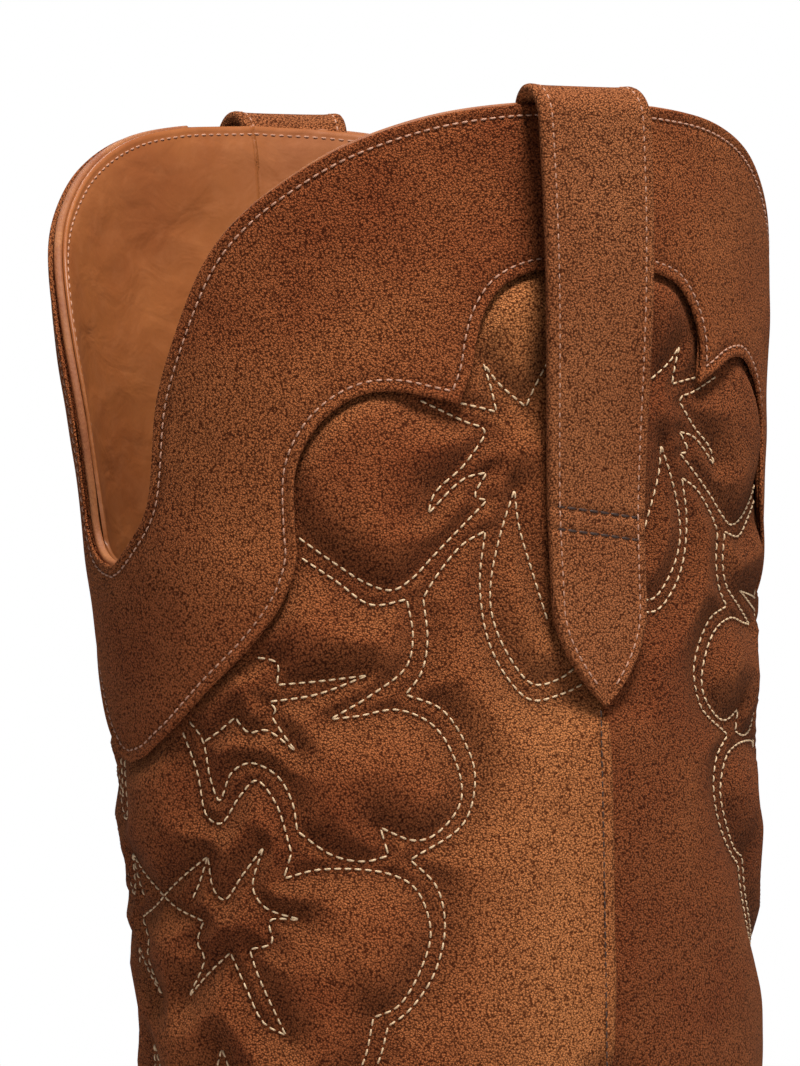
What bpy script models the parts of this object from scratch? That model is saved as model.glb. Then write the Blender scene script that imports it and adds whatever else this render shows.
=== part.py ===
"""Left cowboy boot: a knee-high, pull-on western boot in suede, with leather soles and a stacked heel.

Frame: +Z up, toe towards -X, lateral (outer) side towards -Y, origin on the floor under the box's middle.
Lengths in this file are in millimetres, and MM turns them into Blender's metres.

The whole upper follows one skin. A section of the skin is a closed curve in a plane that holds the Y
direction. It runs from a front point on the boot's front line, round the lateral side, to a back point on
its back line. Round the leg the sections are level ellipses. From the ankle they fan round the heel, and in
the foot they stand upright, with a flat bottom. A place on the skin is a station number and an angle: 0 on
the front line, 90 degrees at the lateral side, 180 on the back line, and negative on the medial side.
"""

import math

import bmesh
import bpy
import numpy as np

MM = 0.001

# Driving dimensions
RIM_Z = 395.2  # top edge of the shaft at its sides
DIP_Z = 307.0  # bottom of the dips in front and behind
SEAM = 102.5  # from the front line round to the side seam, on the flat pattern
TOE_X = -138.3  # tip of the sole
HEEL_X = 140.5  # back of the heel seat
TREAD_Z = 8.0  # underside of the upper at the ball of the foot
SEAT_Z = 49.0  # underside of the upper over the heel
FACE_GAP = 0.3  # between faces that rest on each other
SHARP_ANGLE = 40.0

# Each layer's outer face, as a depth under the skin, and its thickness
COLLAR = (0.0, 1.2)
PANEL = (1.9, 1.3)
SHAFT_LINING = (3.8, 0.8)
VAMP = (0.0, 1.2)
BACKING = (2.5, 0.5)
FOOT_LINING = (3.95, 0.8)
BINDING = (1.7, 1.4)
PANEL_DROP = 4.5  # from the rim down to the panels' top edges, which the collar covers
BINDING_DROP = 2.1  # how far the binding goes down below the rim
BINDING_RISE = 0.4  # how far it stands above the rim
BINDING_GAP = 21.8  # from its ends round to the seam, which keeps it clear of the straps
LINING_DROP = 0.2  # from the rim down to the lining's top edge

# Front x, front z, back x, back z, half width, share of the way from front to back where it is widest,
# exponent of the front half, exponent of the back half (2 is an ellipse, more is squarer), and sideways
# shift of the middle.
STATIONS = np.array(
    [
        (-18.5, 403, 141.5, 403, 61.1, 0.50, 2.0, 2.0, 0.0),
        (-12.8, 357, 141.2, 357, 58.9, 0.50, 2.0, 2.0, 0.0),
        (-4.3, 301, 140.5, 301, 55.2, 0.50, 2.0, 2.0, 0.0),
        (2.7, 243, 140.3, 243, 52.5, 0.50, 2.0, 2.0, 0.0),
        (8.3, 200, 139.5, 200, 50.2, 0.50, 2.0, 2.0, 0.0),
        (15.0, 170, 137.8, 170, 46.8, 0.50, 2.0, 2.0, 0.0),
        (20.8, 146, 135.8, 146, 43.5, 0.50, 2.0, 2.0, 0.0),
        (21.8, 136, 135.2, 122, 41.2, 0.50, 2.0, 2.0, 0.0),
        (20.0, 127, 136.5, 98, 38.8, 0.51, 2.0, 2.0, 0.0),
        (16.0, 119.5, 138.3, 76, 36.4, 0.54, 1.95, 2.1, 0.0),
        (11.5, 113.5, 135.5, 56, 34.4, 0.60, 1.9, 2.5, 0.0),
        (7.0, 109, 120, 49.3, 33.6, 0.68, 1.85, 3.2, 0.0),
        (1.5, 104, 95, 49, 33.4, 0.73, 1.8, 4.4, -0.3),
        (-5.0, 98.5, 66, 48.7, 33.2, 0.76, 1.75, 5.4, -1.0),
        (-13.0, 92.5, 38, 40.8, 33.6, 0.77, 1.75, 6.0, -2.0),
        (-24.0, 85, 8, 26.8, 36.0, 0.76, 1.8, 6.0, -2.0),
        (-38.0, 76, -20, 14.2, 41.0, 0.75, 1.85, 6.0, -1.2),
        (-55.0, 66.3, -45, 8.5, 44.4, 0.74, 1.9, 6.0, 0.0),
        (-74.0, 56.3, -68, TREAD_Z, 41.8, 0.72, 2.0, 5.6, 1.5),
        (-93.0, 47.3, -90, 9.4, 34.5, 0.70, 2.0, 5.0, 3.0),
        (-110.0, 39.8, -109, 12.4, 25.5, 0.67, 2.0, 4.4, 4.3),
        (-123.0, 34, -123, 15.2, 18.0, 0.64, 2.0, 3.8, 5.0),
        (-130.5, 29.8, -130.5, 17.0, 13.0, 0.60, 2.0, 3.2, 5.5),
        (-134.6, 26.6, -134.6, 18.2, 8.2, 0.55, 2.0, 2.6, 5.8),
        (-136.3, 21.8, -136.3, 21.8, 0.0, 0.50, 2.0, 2.0, 5.8),
    ]
)
ANKLE = 6  # the lowest level station
SEAT = 12  # the first station whose bottom rests on the sole
LAST = len(STATIONS) - 1
PATTERN_STATION = 2  # the flat pattern is drawn at this station's girth

# Half width of the sole along its length, from the toe to the heel
SOLE_EDGE = np.array(
    [
        (TOE_X, 1.5),
        (-137.6, 5.2),
        (-136.0, 8.6),
        (-132.4, 13.2),
        (-123.0, 20.4),
        (-110.0, 29.0),
        (-90.0, 38.2),
        (-68.0, 45.2),
        (-50.0, 47.6),
        (-36.0, 46.6),
        (-18.0, 41.6),
        (0.0, 35.2),
        (20.0, 30.6),
        (42.0, 30.0),
        (64.0, 32.4),
        (86.0, 34.2),
        (104.0, 33.6),
        (118.0, 29.8),
        (128.0, 24.0),
        (135.0, 16.2),
        (139.0, 8.4),
        (HEEL_X, 1.5),
    ]
)
WELT_HEIGHT = 2.4
WELT_RING = 8.0  # from the sole's edge in to the welt's inner edge
WELT_END_X = 46.0  # the welt ends here, and the heel rand goes on from it
OUTSOLE_HEIGHT = 4.2
INSOLE_HEIGHT = 2.4

HEEL_BREAST_X = 72.0
HEEL_SLOPE = 12.0  # how far the back of the heel comes forward on its way down
TOP_LIFT_HEIGHT = 6.0
HEEL_LIFTS = 6

STRAP_WIDTH = 22.4
STRAP_TIP_Z = 279.6
STRAP_SHOULDER_Z = 299.0  # where the strap's end starts to narrow
STRAP_TOP_Z = 400.0
STRAP_THICKNESS = 1.8
STRAP_STAND_OFF = 6.0  # gap between the strap and the collar near the rim
STRAP_SEWN_Z = 318.0  # the strap is sewn down below this
STRAP_ROOT_Z = 384.0  # the strap's inner end, between the collar and the lining
LOOP_RISE = 5.2  # height of the strap's bend over the rim
TIP_BLUNTNESS = 0.06  # the strap's tip is this share of its full width
LATERAL_LEAN = -3.2
MEDIAL_LEAN = 8.5
STRAP_NOTCH = (22.0, 28.0)  # from the seam round to where the panels begin to rise beside a strap, and end
NOTCH_DROP = 3.5  # from a strap's inner end down to the panels' tops under it

SUEDE = ("suede", (0.26, 0.105, 0.042), 0.95, 0.0)
LINING = ("lining_leather", (0.42, 0.2, 0.09), 0.5, 0.0)
EDGE = ("edge_leather", (0.62, 0.33, 0.12), 0.6, 0.0)
BOARD = ("fibre_board", (0.45, 0.33, 0.2), 0.8, 0.0)
SOLE = ("sole_leather", (0.5, 0.28, 0.13), 0.55, 0.0)
STACK = ("stacked_leather", (0.3, 0.15, 0.07), 0.5, 0.0)
RUBBER = ("rubber", (0.03, 0.025, 0.02), 0.7, 0.0)
CORK = ("cork", (0.5, 0.35, 0.2), 0.9, 0.0)
STEEL = ("steel", (0.55, 0.55, 0.56), 0.35, 1.0)
BRASS = ("brass", (0.7, 0.5, 0.2), 0.35, 1.0)
WOOD = ("peg_wood", (0.75, 0.6, 0.38), 0.7, 0.0)


# ---------------------------------------------------------------- scene


def clear_scene():
    for obj in list(bpy.data.objects):
        bpy.data.objects.remove(obj)


def new_collection(name):
    collection = bpy.data.collections.new(name)
    bpy.context.scene.collection.children.link(collection)
    return collection


def material(look):
    name, colour, roughness, metallic = look
    found = bpy.data.materials.get(name)
    if found:
        return found
    made = bpy.data.materials.new(name)
    made.use_nodes = True
    shader = made.node_tree.nodes["Principled BSDF"]
    shader.inputs["Base Color"].default_value = (*colour, 1.0)
    shader.inputs["Roughness"].default_value = roughness
    shader.inputs["Metallic"].default_value = metallic
    made.diffuse_color = (*colour, 1.0)
    return made


def add_object(name, data, look, collection):
    obj = bpy.data.objects.new(name, data)
    data.materials.append(material(look))
    collection.objects.link(obj)
    return obj


def mesh_from(bm, name):
    bmesh.ops.remove_doubles(bm, verts=bm.verts, dist=0.01 * MM)
    data = bpy.data.meshes.new(name)
    bm.to_mesh(data)
    bm.free()
    data.shade_smooth()
    data.set_sharp_from_angle(angle=math.radians(SHARP_ANGLE))
    return data


# ---------------------------------------------------------------- the skin


def smooth(stops, values, at):
    """A cubic curve through the values at the stops."""
    at = np.clip(np.asarray(at, float), stops[0], stops[-1])
    i = np.clip(np.searchsorted(stops, at, side="right") - 1, 0, len(stops) - 2)
    slope = np.gradient(values, stops, axis=0)
    width = stops[i + 1] - stops[i]
    t = (at - stops[i]) / width
    return (
        (2 * t**3 - 3 * t**2 + 1) * values[i]
        + (t**3 - 2 * t**2 + t) * width * slope[i]
        + (3 * t**2 - 2 * t**3) * values[i + 1]
        + (t**3 - t**2) * width * slope[i + 1]
    )


def bare_skin(station, angle):
    stops = np.arange(len(STATIONS), dtype=float)
    row = [smooth(stops, STATIONS[:, k], station) for k in range(STATIONS.shape[1])]
    front = np.stack(row[0:2], -1)
    back = np.stack(row[2:4], -1)
    half_width, widest, front_power, back_power, shift = row[4:]
    angle = (angle + 180) % 360 - 180
    turn = np.radians(np.abs(angle))
    power = 2.0 / np.where(turn < math.pi / 2, front_power, back_power)
    across = np.abs(np.sin(turn)) ** power
    over = np.abs(np.cos(turn)) ** power
    share = np.where(turn < math.pi / 2, widest * (1 - over), widest + (1 - widest) * over)
    place = front + (back - front) * share[..., None]
    side = -np.sign(angle) * half_width * across
    return np.stack([place[..., 0], side + shift, place[..., 1]], -1)


def skin(station, angle, depth=0.0):
    """Points of the skin, or of the surface at a depth under it. Angles are in degrees."""
    station, angle, depth = np.broadcast_arrays(
        np.asarray(station, float), np.asarray(angle, float), np.asarray(depth, float)
    )
    inner_station = np.clip(station, 0.02, LAST - 0.02)
    along = bare_skin(inner_station + 0.02, angle) - bare_skin(inner_station - 0.02, angle)
    around = bare_skin(inner_station, angle + 0.2) - bare_skin(inner_station, angle - 0.2)
    normal = np.cross(along, around)
    normal /= np.linalg.norm(normal, axis=-1, keepdims=True)
    return bare_skin(station, angle) - normal * depth[..., None]


def station_at(z):
    """The level station at a height on the shaft."""
    stations = np.linspace(0, ANKLE, 400)
    heights = bare_skin(stations, 0 * stations)[:, 2]
    return np.interp(-np.asarray(z, float), -heights, stations)


def pattern_table():
    """Distances round the flat pattern from the front line, and the angles that they belong to."""
    angles = np.linspace(-360, 360, 2881)
    places = bare_skin(np.full(angles.shape, float(PATTERN_STATION)), angles)
    step = np.linalg.norm(np.diff(places, axis=0), axis=1)
    distances = np.concatenate([[0], np.cumsum(step)])
    return distances - np.interp(0, angles, distances), angles


PATTERN_DISTANCES, PATTERN_ANGLES = pattern_table()
HALF_GIRTH = np.interp(180, PATTERN_ANGLES, PATTERN_DISTANCES)


def angle_at(distance):
    return np.interp(distance, PATTERN_DISTANCES, PATTERN_ANGLES)


# ---------------------------------------------------------------- outlines on the flat pattern


def rim_height(distance):
    """Height of the shaft's top edge: high at the sides, with a deep dip in front and behind."""
    from_dip = np.abs((np.asarray(distance, float) + HALF_GIRTH / 2) % HALF_GIRTH - HALF_GIRTH / 2)
    stops = np.array([0, 4, 8, 11, 14, 18, 24, 32, 42, 55, 72, 103], float)
    rise = np.array([0, 0.9, 4.7, 13, 28, 42.5, 55.5, 65.5, 73.5, 80.5, 86.0, 88.8], float)
    return DIP_Z + smooth(stops, rise, from_dip) * (RIM_Z - DIP_Z) / rise[-1]


def from_front_line(distance):
    return np.abs((np.asarray(distance, float) + HALF_GIRTH) % (2 * HALF_GIRTH) - HALF_GIRTH)


def from_seam(distance):
    return np.abs(from_front_line(distance) - SEAM)


def collar_height(distance):
    """Height of the collar's scalloped lower edge, which hangs lowest at the side seams."""
    stops = np.array([0, 12, 18, 22, 26, 29, 34, 40, 48, 54, 59, 61.5, 64, 70, 78, 88, 102.5])
    height = np.array(
        [366, 363, 357, 350, 343.5, 338, 340, 341, 338.5, 332, 322, 308, 301, 293, 283, 274.5, 270.5]
    )
    return smooth(stops, height, from_seam(distance))


# ---------------------------------------------------------------- sheets of the upper


def grid_mesh(points, closed):
    """A mesh from rows of points joined into faces, and its verts. Closed joins each row's ends."""
    rows, columns = points.shape[:2]
    bm = bmesh.new()
    verts = [[bm.verts.new(point * MM) for point in row] for row in points]
    for i in range(rows - 1):
        for j in range(columns - (0 if closed else 1)):
            k = (j + 1) % columns
            bm.faces.new((verts[i][j], verts[i][k], verts[i + 1][k], verts[i + 1][j]))
    return bm, verts


def sheet(name, look, collection, points, thickness, offset=-1.0):
    """A sheet from rows of points on its outer face, thickened inwards. Offset 0 thickens it both ways."""
    bm, _ = grid_mesh(points, False)
    obj = add_object(name, mesh_from(bm, name), look, collection)
    solidify = obj.modifiers.new("Thickness", "SOLIDIFY")
    solidify.thickness = thickness * MM
    solidify.offset = offset


def solid_of_rings(name, look, collection, rings):
    """A solid skinned over closed rings of points, with flat ends."""
    bm, verts = grid_mesh(rings, True)
    bm.faces.new(verts[0])
    bm.faces.new(verts[-1][::-1])
    bmesh.ops.recalc_face_normals(bm, faces=bm.faces)
    return add_object(name, mesh_from(bm, name), look, collection)


def edge_curve(stops):
    """A curve on the skin from its (u, angle, station) stops for u from 0 to 1, mirrored for u below 0."""
    stops = np.array(stops, float)

    def at(u):
        angle = np.interp(np.abs(u), stops[:, 0], stops[:, 1])
        station = smooth(stops[:, 0], stops[:, 2], np.abs(u))
        return np.where(u < 0, -1.0, 1.0) * angle, station

    return at


def skin_sheet(name, look, collection, lower, upper, layer, u, rows, ends_at_seam=False):
    """A sheet between two curves on the skin, in one layer of the wall."""
    depth, thickness = layer
    u = np.asarray(u, float)[None, :]
    r = np.linspace(0, 1, rows + 1)[:, None]
    low_angle, low_station = lower(u)
    high_angle, high_station = upper(u)
    angle = low_angle + (high_angle - low_angle) * r
    station = low_station + (high_station - low_station) * r
    if ends_at_seam:
        straight = SEAM_FOOT[0] + (SEAM_TOP[0] - SEAM_FOOT[0]) * r
        seam = np.interp(SEAM_FOOT[1] + (SEAM_TOP[1] - SEAM_FOOT[1]) * r, SEAM_STATIONS, SEAM_ANGLES)
        angle = angle + u * (seam - straight)
    sheet(name, look, collection, skin(station, angle, depth), thickness)


# Columns of a shaft sheet, as distances from its dip: close together in the dip, where the rim is steep
COLUMNS = np.array([0, 4, 8, 12, 17, 23, 30, 38, 48, 59, 70, 81, 92, 102.2])
FRONT_REACH = COLUMNS[-1]  # half of the front panel's width on the pattern
BACK_REACH = HALF_GIRTH - SEAM - FACE_GAP


def shaft_sheet(name, look, collection, back, low, high, layer, rows, reach):
    """A sheet of the shaft's front or back. Low and high give stations at distances round the pattern."""
    half = COLUMNS * reach / COLUMNS[-1]
    distance = np.concatenate([-half[:0:-1], half])
    if back:
        distance = distance + HALF_GIRTH

    def curve(station_of):
        return lambda _: (angle_at(distance)[None, :], station_of(distance)[None, :])

    return skin_sheet(name, look, collection, curve(low), curve(high), layer, distance, rows)


def level_rim(drop):
    return lambda distance: station_at(rim_height(distance) - drop)


def panel_top(distance):
    """The panels stop under the rim, and lower at the seams, where the straps go down behind the collar."""
    notch = np.interp(from_seam(distance), STRAP_NOTCH, [STRAP_ROOT_Z - NOTCH_DROP, RIM_Z])
    return station_at(np.minimum(rim_height(distance) - PANEL_DROP, notch))


def ankle_line(front, side, back):
    """A station that goes from its value on the front line to those at the sides and on the back line."""
    stops = np.array([0, SEAM, HALF_GIRTH])
    stations = np.array([front, side, back], float)
    return lambda distance: smooth(stops, stations, from_front_line(distance))


# ---------------------------------------------------------------- the shaft

PANEL_FOOT = ankle_line(6.4, 9.4, 8.9)
LINING_FOOT = ankle_line(7.5, 8.35, 7.5)


def collar_foot(distance):
    return station_at(collar_height(distance))


def make_shaft(collection):
    for name, back, reach in (("front", False, FRONT_REACH), ("back", True, BACK_REACH)):
        shaft_sheet(f"shaft_{name}", SUEDE, collection, back, PANEL_FOOT, panel_top, PANEL, 8, reach)
        shaft_sheet(f"collar_{name}", SUEDE, collection, back, collar_foot, level_rim(0), COLLAR, 3, reach)
        low, high = LINING_FOOT, level_rim(LINING_DROP)
        shaft_sheet(f"shaft_lining_{name}", LINING, collection, back, low, high, SHAFT_LINING, 6, reach)
        low, high = level_rim(BINDING_DROP), level_rim(-BINDING_RISE)
        rim_reach = reach - BINDING_GAP
        shaft_sheet(f"rim_binding_{name}", EDGE, collection, back, low, high, BINDING, 1, rim_reach)


# ---------------------------------------------------------------- the pull straps


def strap_path():
    """Places along a strap from its shoulder, over the rim and down to its inner end, as depth and height."""
    half = STRAP_THICKNESS / 2
    tab = PANEL[0] - FACE_GAP - half
    proud = -(STRAP_STAND_OFF + half)
    tucked = (COLLAR[1] + SHAFT_LINING[0]) / 2
    heights = np.array([STRAP_SHOULDER_Z, STRAP_SEWN_Z, 331, 346, 360, 374, 385])
    shares = np.array([0, 0.04, 0.25, 0.55, 0.8, 0.95, 1.0])
    leg = [(tab + (proud - tab) * share, z) for share, z in zip(shares, heights)]
    spring_z = STRAP_TOP_Z - half - LOOP_RISE
    centre = (proud + tucked) / 2
    radius = (tucked - proud) / 2
    turn = np.linspace(0, math.pi, 11)
    loop = [(centre - radius * math.cos(a), spring_z + LOOP_RISE * math.sin(a)) for a in turn]
    return leg + loop + [(tucked, STRAP_ROOT_Z)]


def strap_tip(tab_depth):
    """Rows of a strap's pointed lower end, as depth, height and half width."""
    rows = []
    for share in np.linspace(0, 1, 6)[:-1]:
        z = STRAP_TIP_Z + (STRAP_SHOULDER_Z - STRAP_TIP_Z) * share
        half_width = STRAP_WIDTH / 2 * max(TIP_BLUNTNESS, math.sin(share * math.pi / 2) ** 0.85)
        rows.append((tab_depth, z, half_width))
    return rows


def make_pull_strap(name, side, lean, collection):
    """A strap on one side, which leans by so many millimetres towards the heel in each 100 of its height."""
    path = strap_path()
    rows = strap_tip(path[0][0]) + [(depth, z, STRAP_WIDTH / 2) for depth, z in path]
    points = []
    for depth, z, half_width in rows:
        shift = lean * (z - STRAP_TIP_Z) / 100
        distance = side * (SEAM + shift + np.linspace(-half_width, half_width, 5))
        points.append(skin(station_at(z), angle_at(distance), depth))
    grid = np.array(points)
    if side < 0:
        grid = grid[:, ::-1]
    sheet(name, SUEDE, collection, grid, STRAP_THICKNESS, 0.0)


# ---------------------------------------------------------------- the foot's upper

# The side seam between the vamp and the heel cover, which goes straight down to the sole
SEAM_STATIONS = (8.6, 9.2, 10.0, 10.8, 11.6, 12.0, 12.4, 12.56)
SEAM_ANGLES = (90.0, 86.5, 84.3, 84.0, 91.0, 96.5, 121.0, 151.0)
SEAM_TOP = (SEAM_ANGLES[0], SEAM_STATIONS[0])
SEAM_FOOT = (SEAM_ANGLES[-1], SEAM_STATIONS[-1])
VAMP_SEAM_GAP = 1.4  # degrees from the seam's top to the vamp's edge, so that the two pieces clear each other
HEEL_SEAM_GAP = 1.3
SEAM_STATION_GAP = 0.05  # the same at the seam's foot, as a share of a station

TOE_WRAP = [(0, 0, 23.98), (0.04, 50, 23.8), (0.08, 90, 23.5), (0.12, 125, 23.0), (0.17, 148, 22.3)]


def foot_edge(end):
    """The lasting edge of the vamp, from the toe's tip back under the waist."""
    return edge_curve(TOE_WRAP + [(0.4, 151, 19.4), (0.7, 151, 16.2), (1, SEAM_FOOT[0], end)])


def make_vamp(collection):
    """The vamp rises up the front to a scalloped tongue, and dips towards the side seams."""
    u = np.concatenate([np.linspace(0, 0.17, 6), np.linspace(0.17, 1, 10)[1:]])
    u = np.concatenate([-u[:0:-1], u])
    top = edge_curve(
        [(0, 0, 5.35), (0.1, 9, 5.75), (0.22, 22, 6.55), (0.32, 33, 7.05), (0.44, 46, 7.3), (0.58, 60, 7.55)]
        + [(0.72, 72, 8.15), (0.86, 83, 8.55), (1, SEAM_TOP[0] - VAMP_SEAM_GAP, SEAM_TOP[1])]
    )
    foot = foot_edge(SEAM_FOOT[1] + SEAM_STATION_GAP)
    skin_sheet("vamp", SUEDE, collection, foot, top, VAMP, u, 13, True)
    lining_top = edge_curve([(0, 0, 8.0), (0.5, 48, 8.35), (1, SEAM_TOP[0] - VAMP_SEAM_GAP, 8.8)])
    skin_sheet("vamp_lining", LINING, collection, foot, lining_top, FOOT_LINING, u, 9, True)
    toe = np.concatenate([np.linspace(0, 0.17, 6), np.linspace(0.17, 0.42, 4)[1:]])
    toe = np.concatenate([-toe[:0:-1], toe])
    puff_top = edge_curve([(0, 0, 19.6), (0.2, 70, 19.6), (0.42, 128, 19.6)])
    puff_foot = edge_curve(TOE_WRAP + [(0.42, 142, 19.9)])
    skin_sheet("toe_puff", BOARD, collection, puff_foot, puff_top, BACKING, toe, 6)


def make_heel_cover(collection):
    u = np.linspace(1, -1, 15)
    top = edge_curve(
        [(0, 180, 7.6), (0.2, 162, 8.05), (0.5, 136, 8.5), (0.8, 108, 8.62)]
        + [(1, SEAM_TOP[0] + HEEL_SEAM_GAP, SEAM_TOP[1])]
    )
    foot = edge_curve(
        [(0, 180, 11.25), (0.3, 166, 11.35), (0.6, 156, 11.75), (0.85, 152, 12.3)]
        + [(1, SEAM_FOOT[0], SEAM_FOOT[1] - SEAM_STATION_GAP)]
    )
    skin_sheet("heel_cover", SUEDE, collection, foot, top, VAMP, u, 13, True)
    lining_top = edge_curve([(0, 180, 8.0), (0.5, 136, 8.35), (1, SEAM_TOP[0] + HEEL_SEAM_GAP, 8.8)])
    skin_sheet("heel_lining", LINING, collection, foot, lining_top, FOOT_LINING, u, 9, True)
    inner = np.linspace(0.85, -0.85, 17)
    board_top = edge_curve([(0, 180, 9.35), (0.5, 140, 9.8), (0.85, 116, 10.9)])
    board_foot = edge_curve([(0, 180, 11.15), (0.3, 167, 11.25), (0.6, 157, 11.6), (0.85, 153, 12.0)])
    skin_sheet("heel_stiffener", BOARD, collection, board_foot, board_top, BACKING, inner, 4)


# ---------------------------------------------------------------- the sole


def sole_line(x):
    """Height of the upper's underside above a place along the sole."""
    stops = np.array([TOE_X - 1, -132, -123, -109, -90, -68, -45, -20, 8, 38, 60, 70, 95, 142])
    height = np.array([19.5, 17.2, 15.2, 12.4, 9.4, TREAD_Z, 8.5, 14.2, 26.8, 40.8, 47.6, 49, 49, 49])
    return smooth(stops, height, x)


def sole_shift(x):
    """The sole's middle line swings with the foot's."""
    low = STATIONS[SEAT:-1]
    return np.interp(-np.asarray(x, float), -low[:, 2], low[:, 8])


def below_upper(x, y, drop):
    """A point on a level under the upper's underside, square to the sole line."""
    inside = np.maximum(x, TOE_X + 0.5)
    slope = sole_line(inside + 0.5) - sole_line(inside - 0.5)
    size = np.sqrt(1 + slope**2)
    return np.stack([x + drop * slope / size, y + sole_shift(x), sole_line(x) - drop / size], -1)


def sole_half_width(x):
    return smooth(SOLE_EDGE[:, 0], SOLE_EDGE[:, 1], x)


def sole_plate(name, look, collection, top, height, start, end, half_width, count=26):
    """A plate that follows the sole line from start to end, with its points drawn together at the ends."""
    t = np.linspace(0, 1, count)
    x = start + (end - start) * (t - END_CROWDING * np.sin(2 * math.pi * t) / (2 * math.pi))
    half = np.maximum(half_width(x), 1.0)
    rows = []
    for side, drop in ((-1, top), (1, top), (1, top + height), (-1, top + height)):
        rows.append(below_upper(x, side * half, drop))
    return solid_of_rings(name, look, collection, np.array(rows).transpose(1, 0, 2))


def sole_ring(name, look, collection, top, height, toe):
    """A strip round the edge of the toe or the heel half of the sole."""
    t = np.linspace(0, 1, 25)
    tip, end = (TOE_X, WELT_END_X) if toe else (HEEL_X, WELT_END_X + FACE_GAP + 0.1)
    x = end + (tip - end) * np.sin(t * math.pi / 2)
    half = sole_half_width(x)
    edge = np.concatenate([np.stack([x, -half], -1), np.stack([x, half], -1)[::-1]])
    along = np.gradient(edge, axis=0)
    along /= np.linalg.norm(along, axis=1, keepdims=True)
    inward = np.stack([-along[:, 1], along[:, 0]], -1) * (-1.0 if toe else 1.0)
    inner = edge + inward * WELT_RING
    inner[0, 0] = inner[-1, 0] = end
    rows = []
    for line, drop in ((edge, top), (edge, top + height), (inner, top + height), (inner, top)):
        rows.append(below_upper(line[:, 0], line[:, 1], drop))
    solid_of_rings(name, look, collection, np.array(rows).transpose(1, 0, 2))


WELT_TOP = 0.8
WELT_FOOT = WELT_TOP + WELT_HEIGHT
OUTSOLE_TOP = WELT_FOOT + FACE_GAP
OUTSOLE_FOOT = OUTSOLE_TOP + OUTSOLE_HEIGHT
INSOLE_LIFT = 0.9  # gap between the lining's turned-in edge and the insole, for the cement
INSOLE_TOP = -(FOOT_LINING[0] + FOOT_LINING[1] + INSOLE_LIFT + INSOLE_HEIGHT)
SOCK_HEIGHT = 1.0
END_CROWDING = 0.55  # 0 spaces a plate's points evenly, and 1 lets them meet at its ends
SOCK_SETBACK = 2.0
CORK_SETBACK = 22.0  # from the sole's tip back to the cork
CORK_GAP = 2.0  # from the cork to the welt, and to the shank
SHANK_HALF_WIDTH = 8.0
INSOLE_SETBACK = 18.0  # from the outsole's ends in to the insole's
INSOLE_SHARE = 0.64  # of the outsole's width
SHANK_START = -12.0
SHANK_END = 92.0
PEG_RADIUS = 1.1
PEG_INSET = 5.5  # from the sole's edge in to the pegs
CUTTER_REACH = 2.0  # how far a hole's cutter goes past the faces that it cuts
PEG_XS = (12.0, 24.0, 36.0, 48.0)


def make_sole(collection, cutters):
    sole_ring("welt", SOLE, collection, WELT_TOP, WELT_HEIGHT, True)
    sole_ring("heel_rand", SOLE, collection, WELT_TOP, WELT_HEIGHT, False)
    outsole = sole_plate(
        "outsole", SOLE, collection, OUTSOLE_TOP, OUTSOLE_HEIGHT, TOE_X, HEEL_X, sole_half_width, 34
    )
    start, end = TOE_X + INSOLE_SETBACK, HEEL_X - INSOLE_SETBACK

    def insole_half_width(x):
        return INSOLE_SHARE * sole_half_width(TOE_X + (HEEL_X - TOE_X) * (x - start) / (end - start))

    sole_plate("insole", BOARD, collection, INSOLE_TOP, INSOLE_HEIGHT, start, end, insole_half_width)
    sock_top = INSOLE_TOP - FACE_GAP - SOCK_HEIGHT
    sock_ends = (start + SOCK_SETBACK, end - SOCK_SETBACK)
    sole_plate("sock_liner", LINING, collection, sock_top, SOCK_HEIGHT, *sock_ends, insole_half_width)

    def cork_half_width(x):
        return sole_half_width(x) - WELT_RING - CORK_GAP

    def shank_half_width(x):
        return np.full(x.shape, SHANK_HALF_WIDTH)

    cork_ends = (TOE_X + CORK_SETBACK, SHANK_START - CORK_GAP)
    sole_plate("cork_filler", CORK, collection, WELT_TOP, WELT_HEIGHT, *cork_ends, cork_half_width, 16)
    shank_ends = (SHANK_START, SHANK_END)
    sole_plate("shank", STEEL, collection, WELT_TOP, WELT_HEIGHT, *shank_ends, shank_half_width, 12)
    number = 1
    for x in PEG_XS:
        for side in (-1, 1):
            y = side * (sole_half_width(x) - PEG_INSET)
            make_peg(f"wood_peg_{number}", x, y, OUTSOLE_TOP, OUTSOLE_FOOT, outsole, collection, cutters)
            number += 1


def cylinder_between(name, start, end, radius, look, collection, sides=10):
    """A round rod between two points of one plane along the boot."""
    start = np.asarray(start, float)
    end = np.asarray(end, float)
    along = end - start
    length = np.linalg.norm(along)
    bm = bmesh.new()
    bmesh.ops.create_cone(
        bm, cap_ends=True, segments=sides, radius1=radius * MM, radius2=radius * MM, depth=length * MM
    )
    obj = add_object(name, mesh_from(bm, name), look, collection)
    obj.location = (start + end) / 2 * MM
    obj.rotation_euler = (0.0, math.atan2(along[0], along[2]), 0.0)
    return obj


def cut(target, tool):
    tool.hide_render = True
    tool.display_type = "WIRE"
    boolean = target.modifiers.new(tool.name, "BOOLEAN")
    boolean.operation = "DIFFERENCE"
    boolean.solver = "EXACT"
    boolean.object = tool


def make_peg(name, x, y, top, foot, outsole, collection, cutters):
    """A wooden peg through the outsole, flush with its underside."""
    high = below_upper(np.array(x), np.array(y), top)
    low = below_upper(np.array(x), np.array(y), foot)
    axis = (low - high) / np.linalg.norm(low - high)
    cylinder_between(name, high, low, PEG_RADIUS, WOOD, collection, 8)
    reach = axis * CUTTER_REACH
    radius = PEG_RADIUS + FACE_GAP
    cut(outsole, cylinder_between(f"{name}_hole", high - reach, low + reach, radius, WOOD, cutters, 8))


# ---------------------------------------------------------------- the heel

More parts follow.
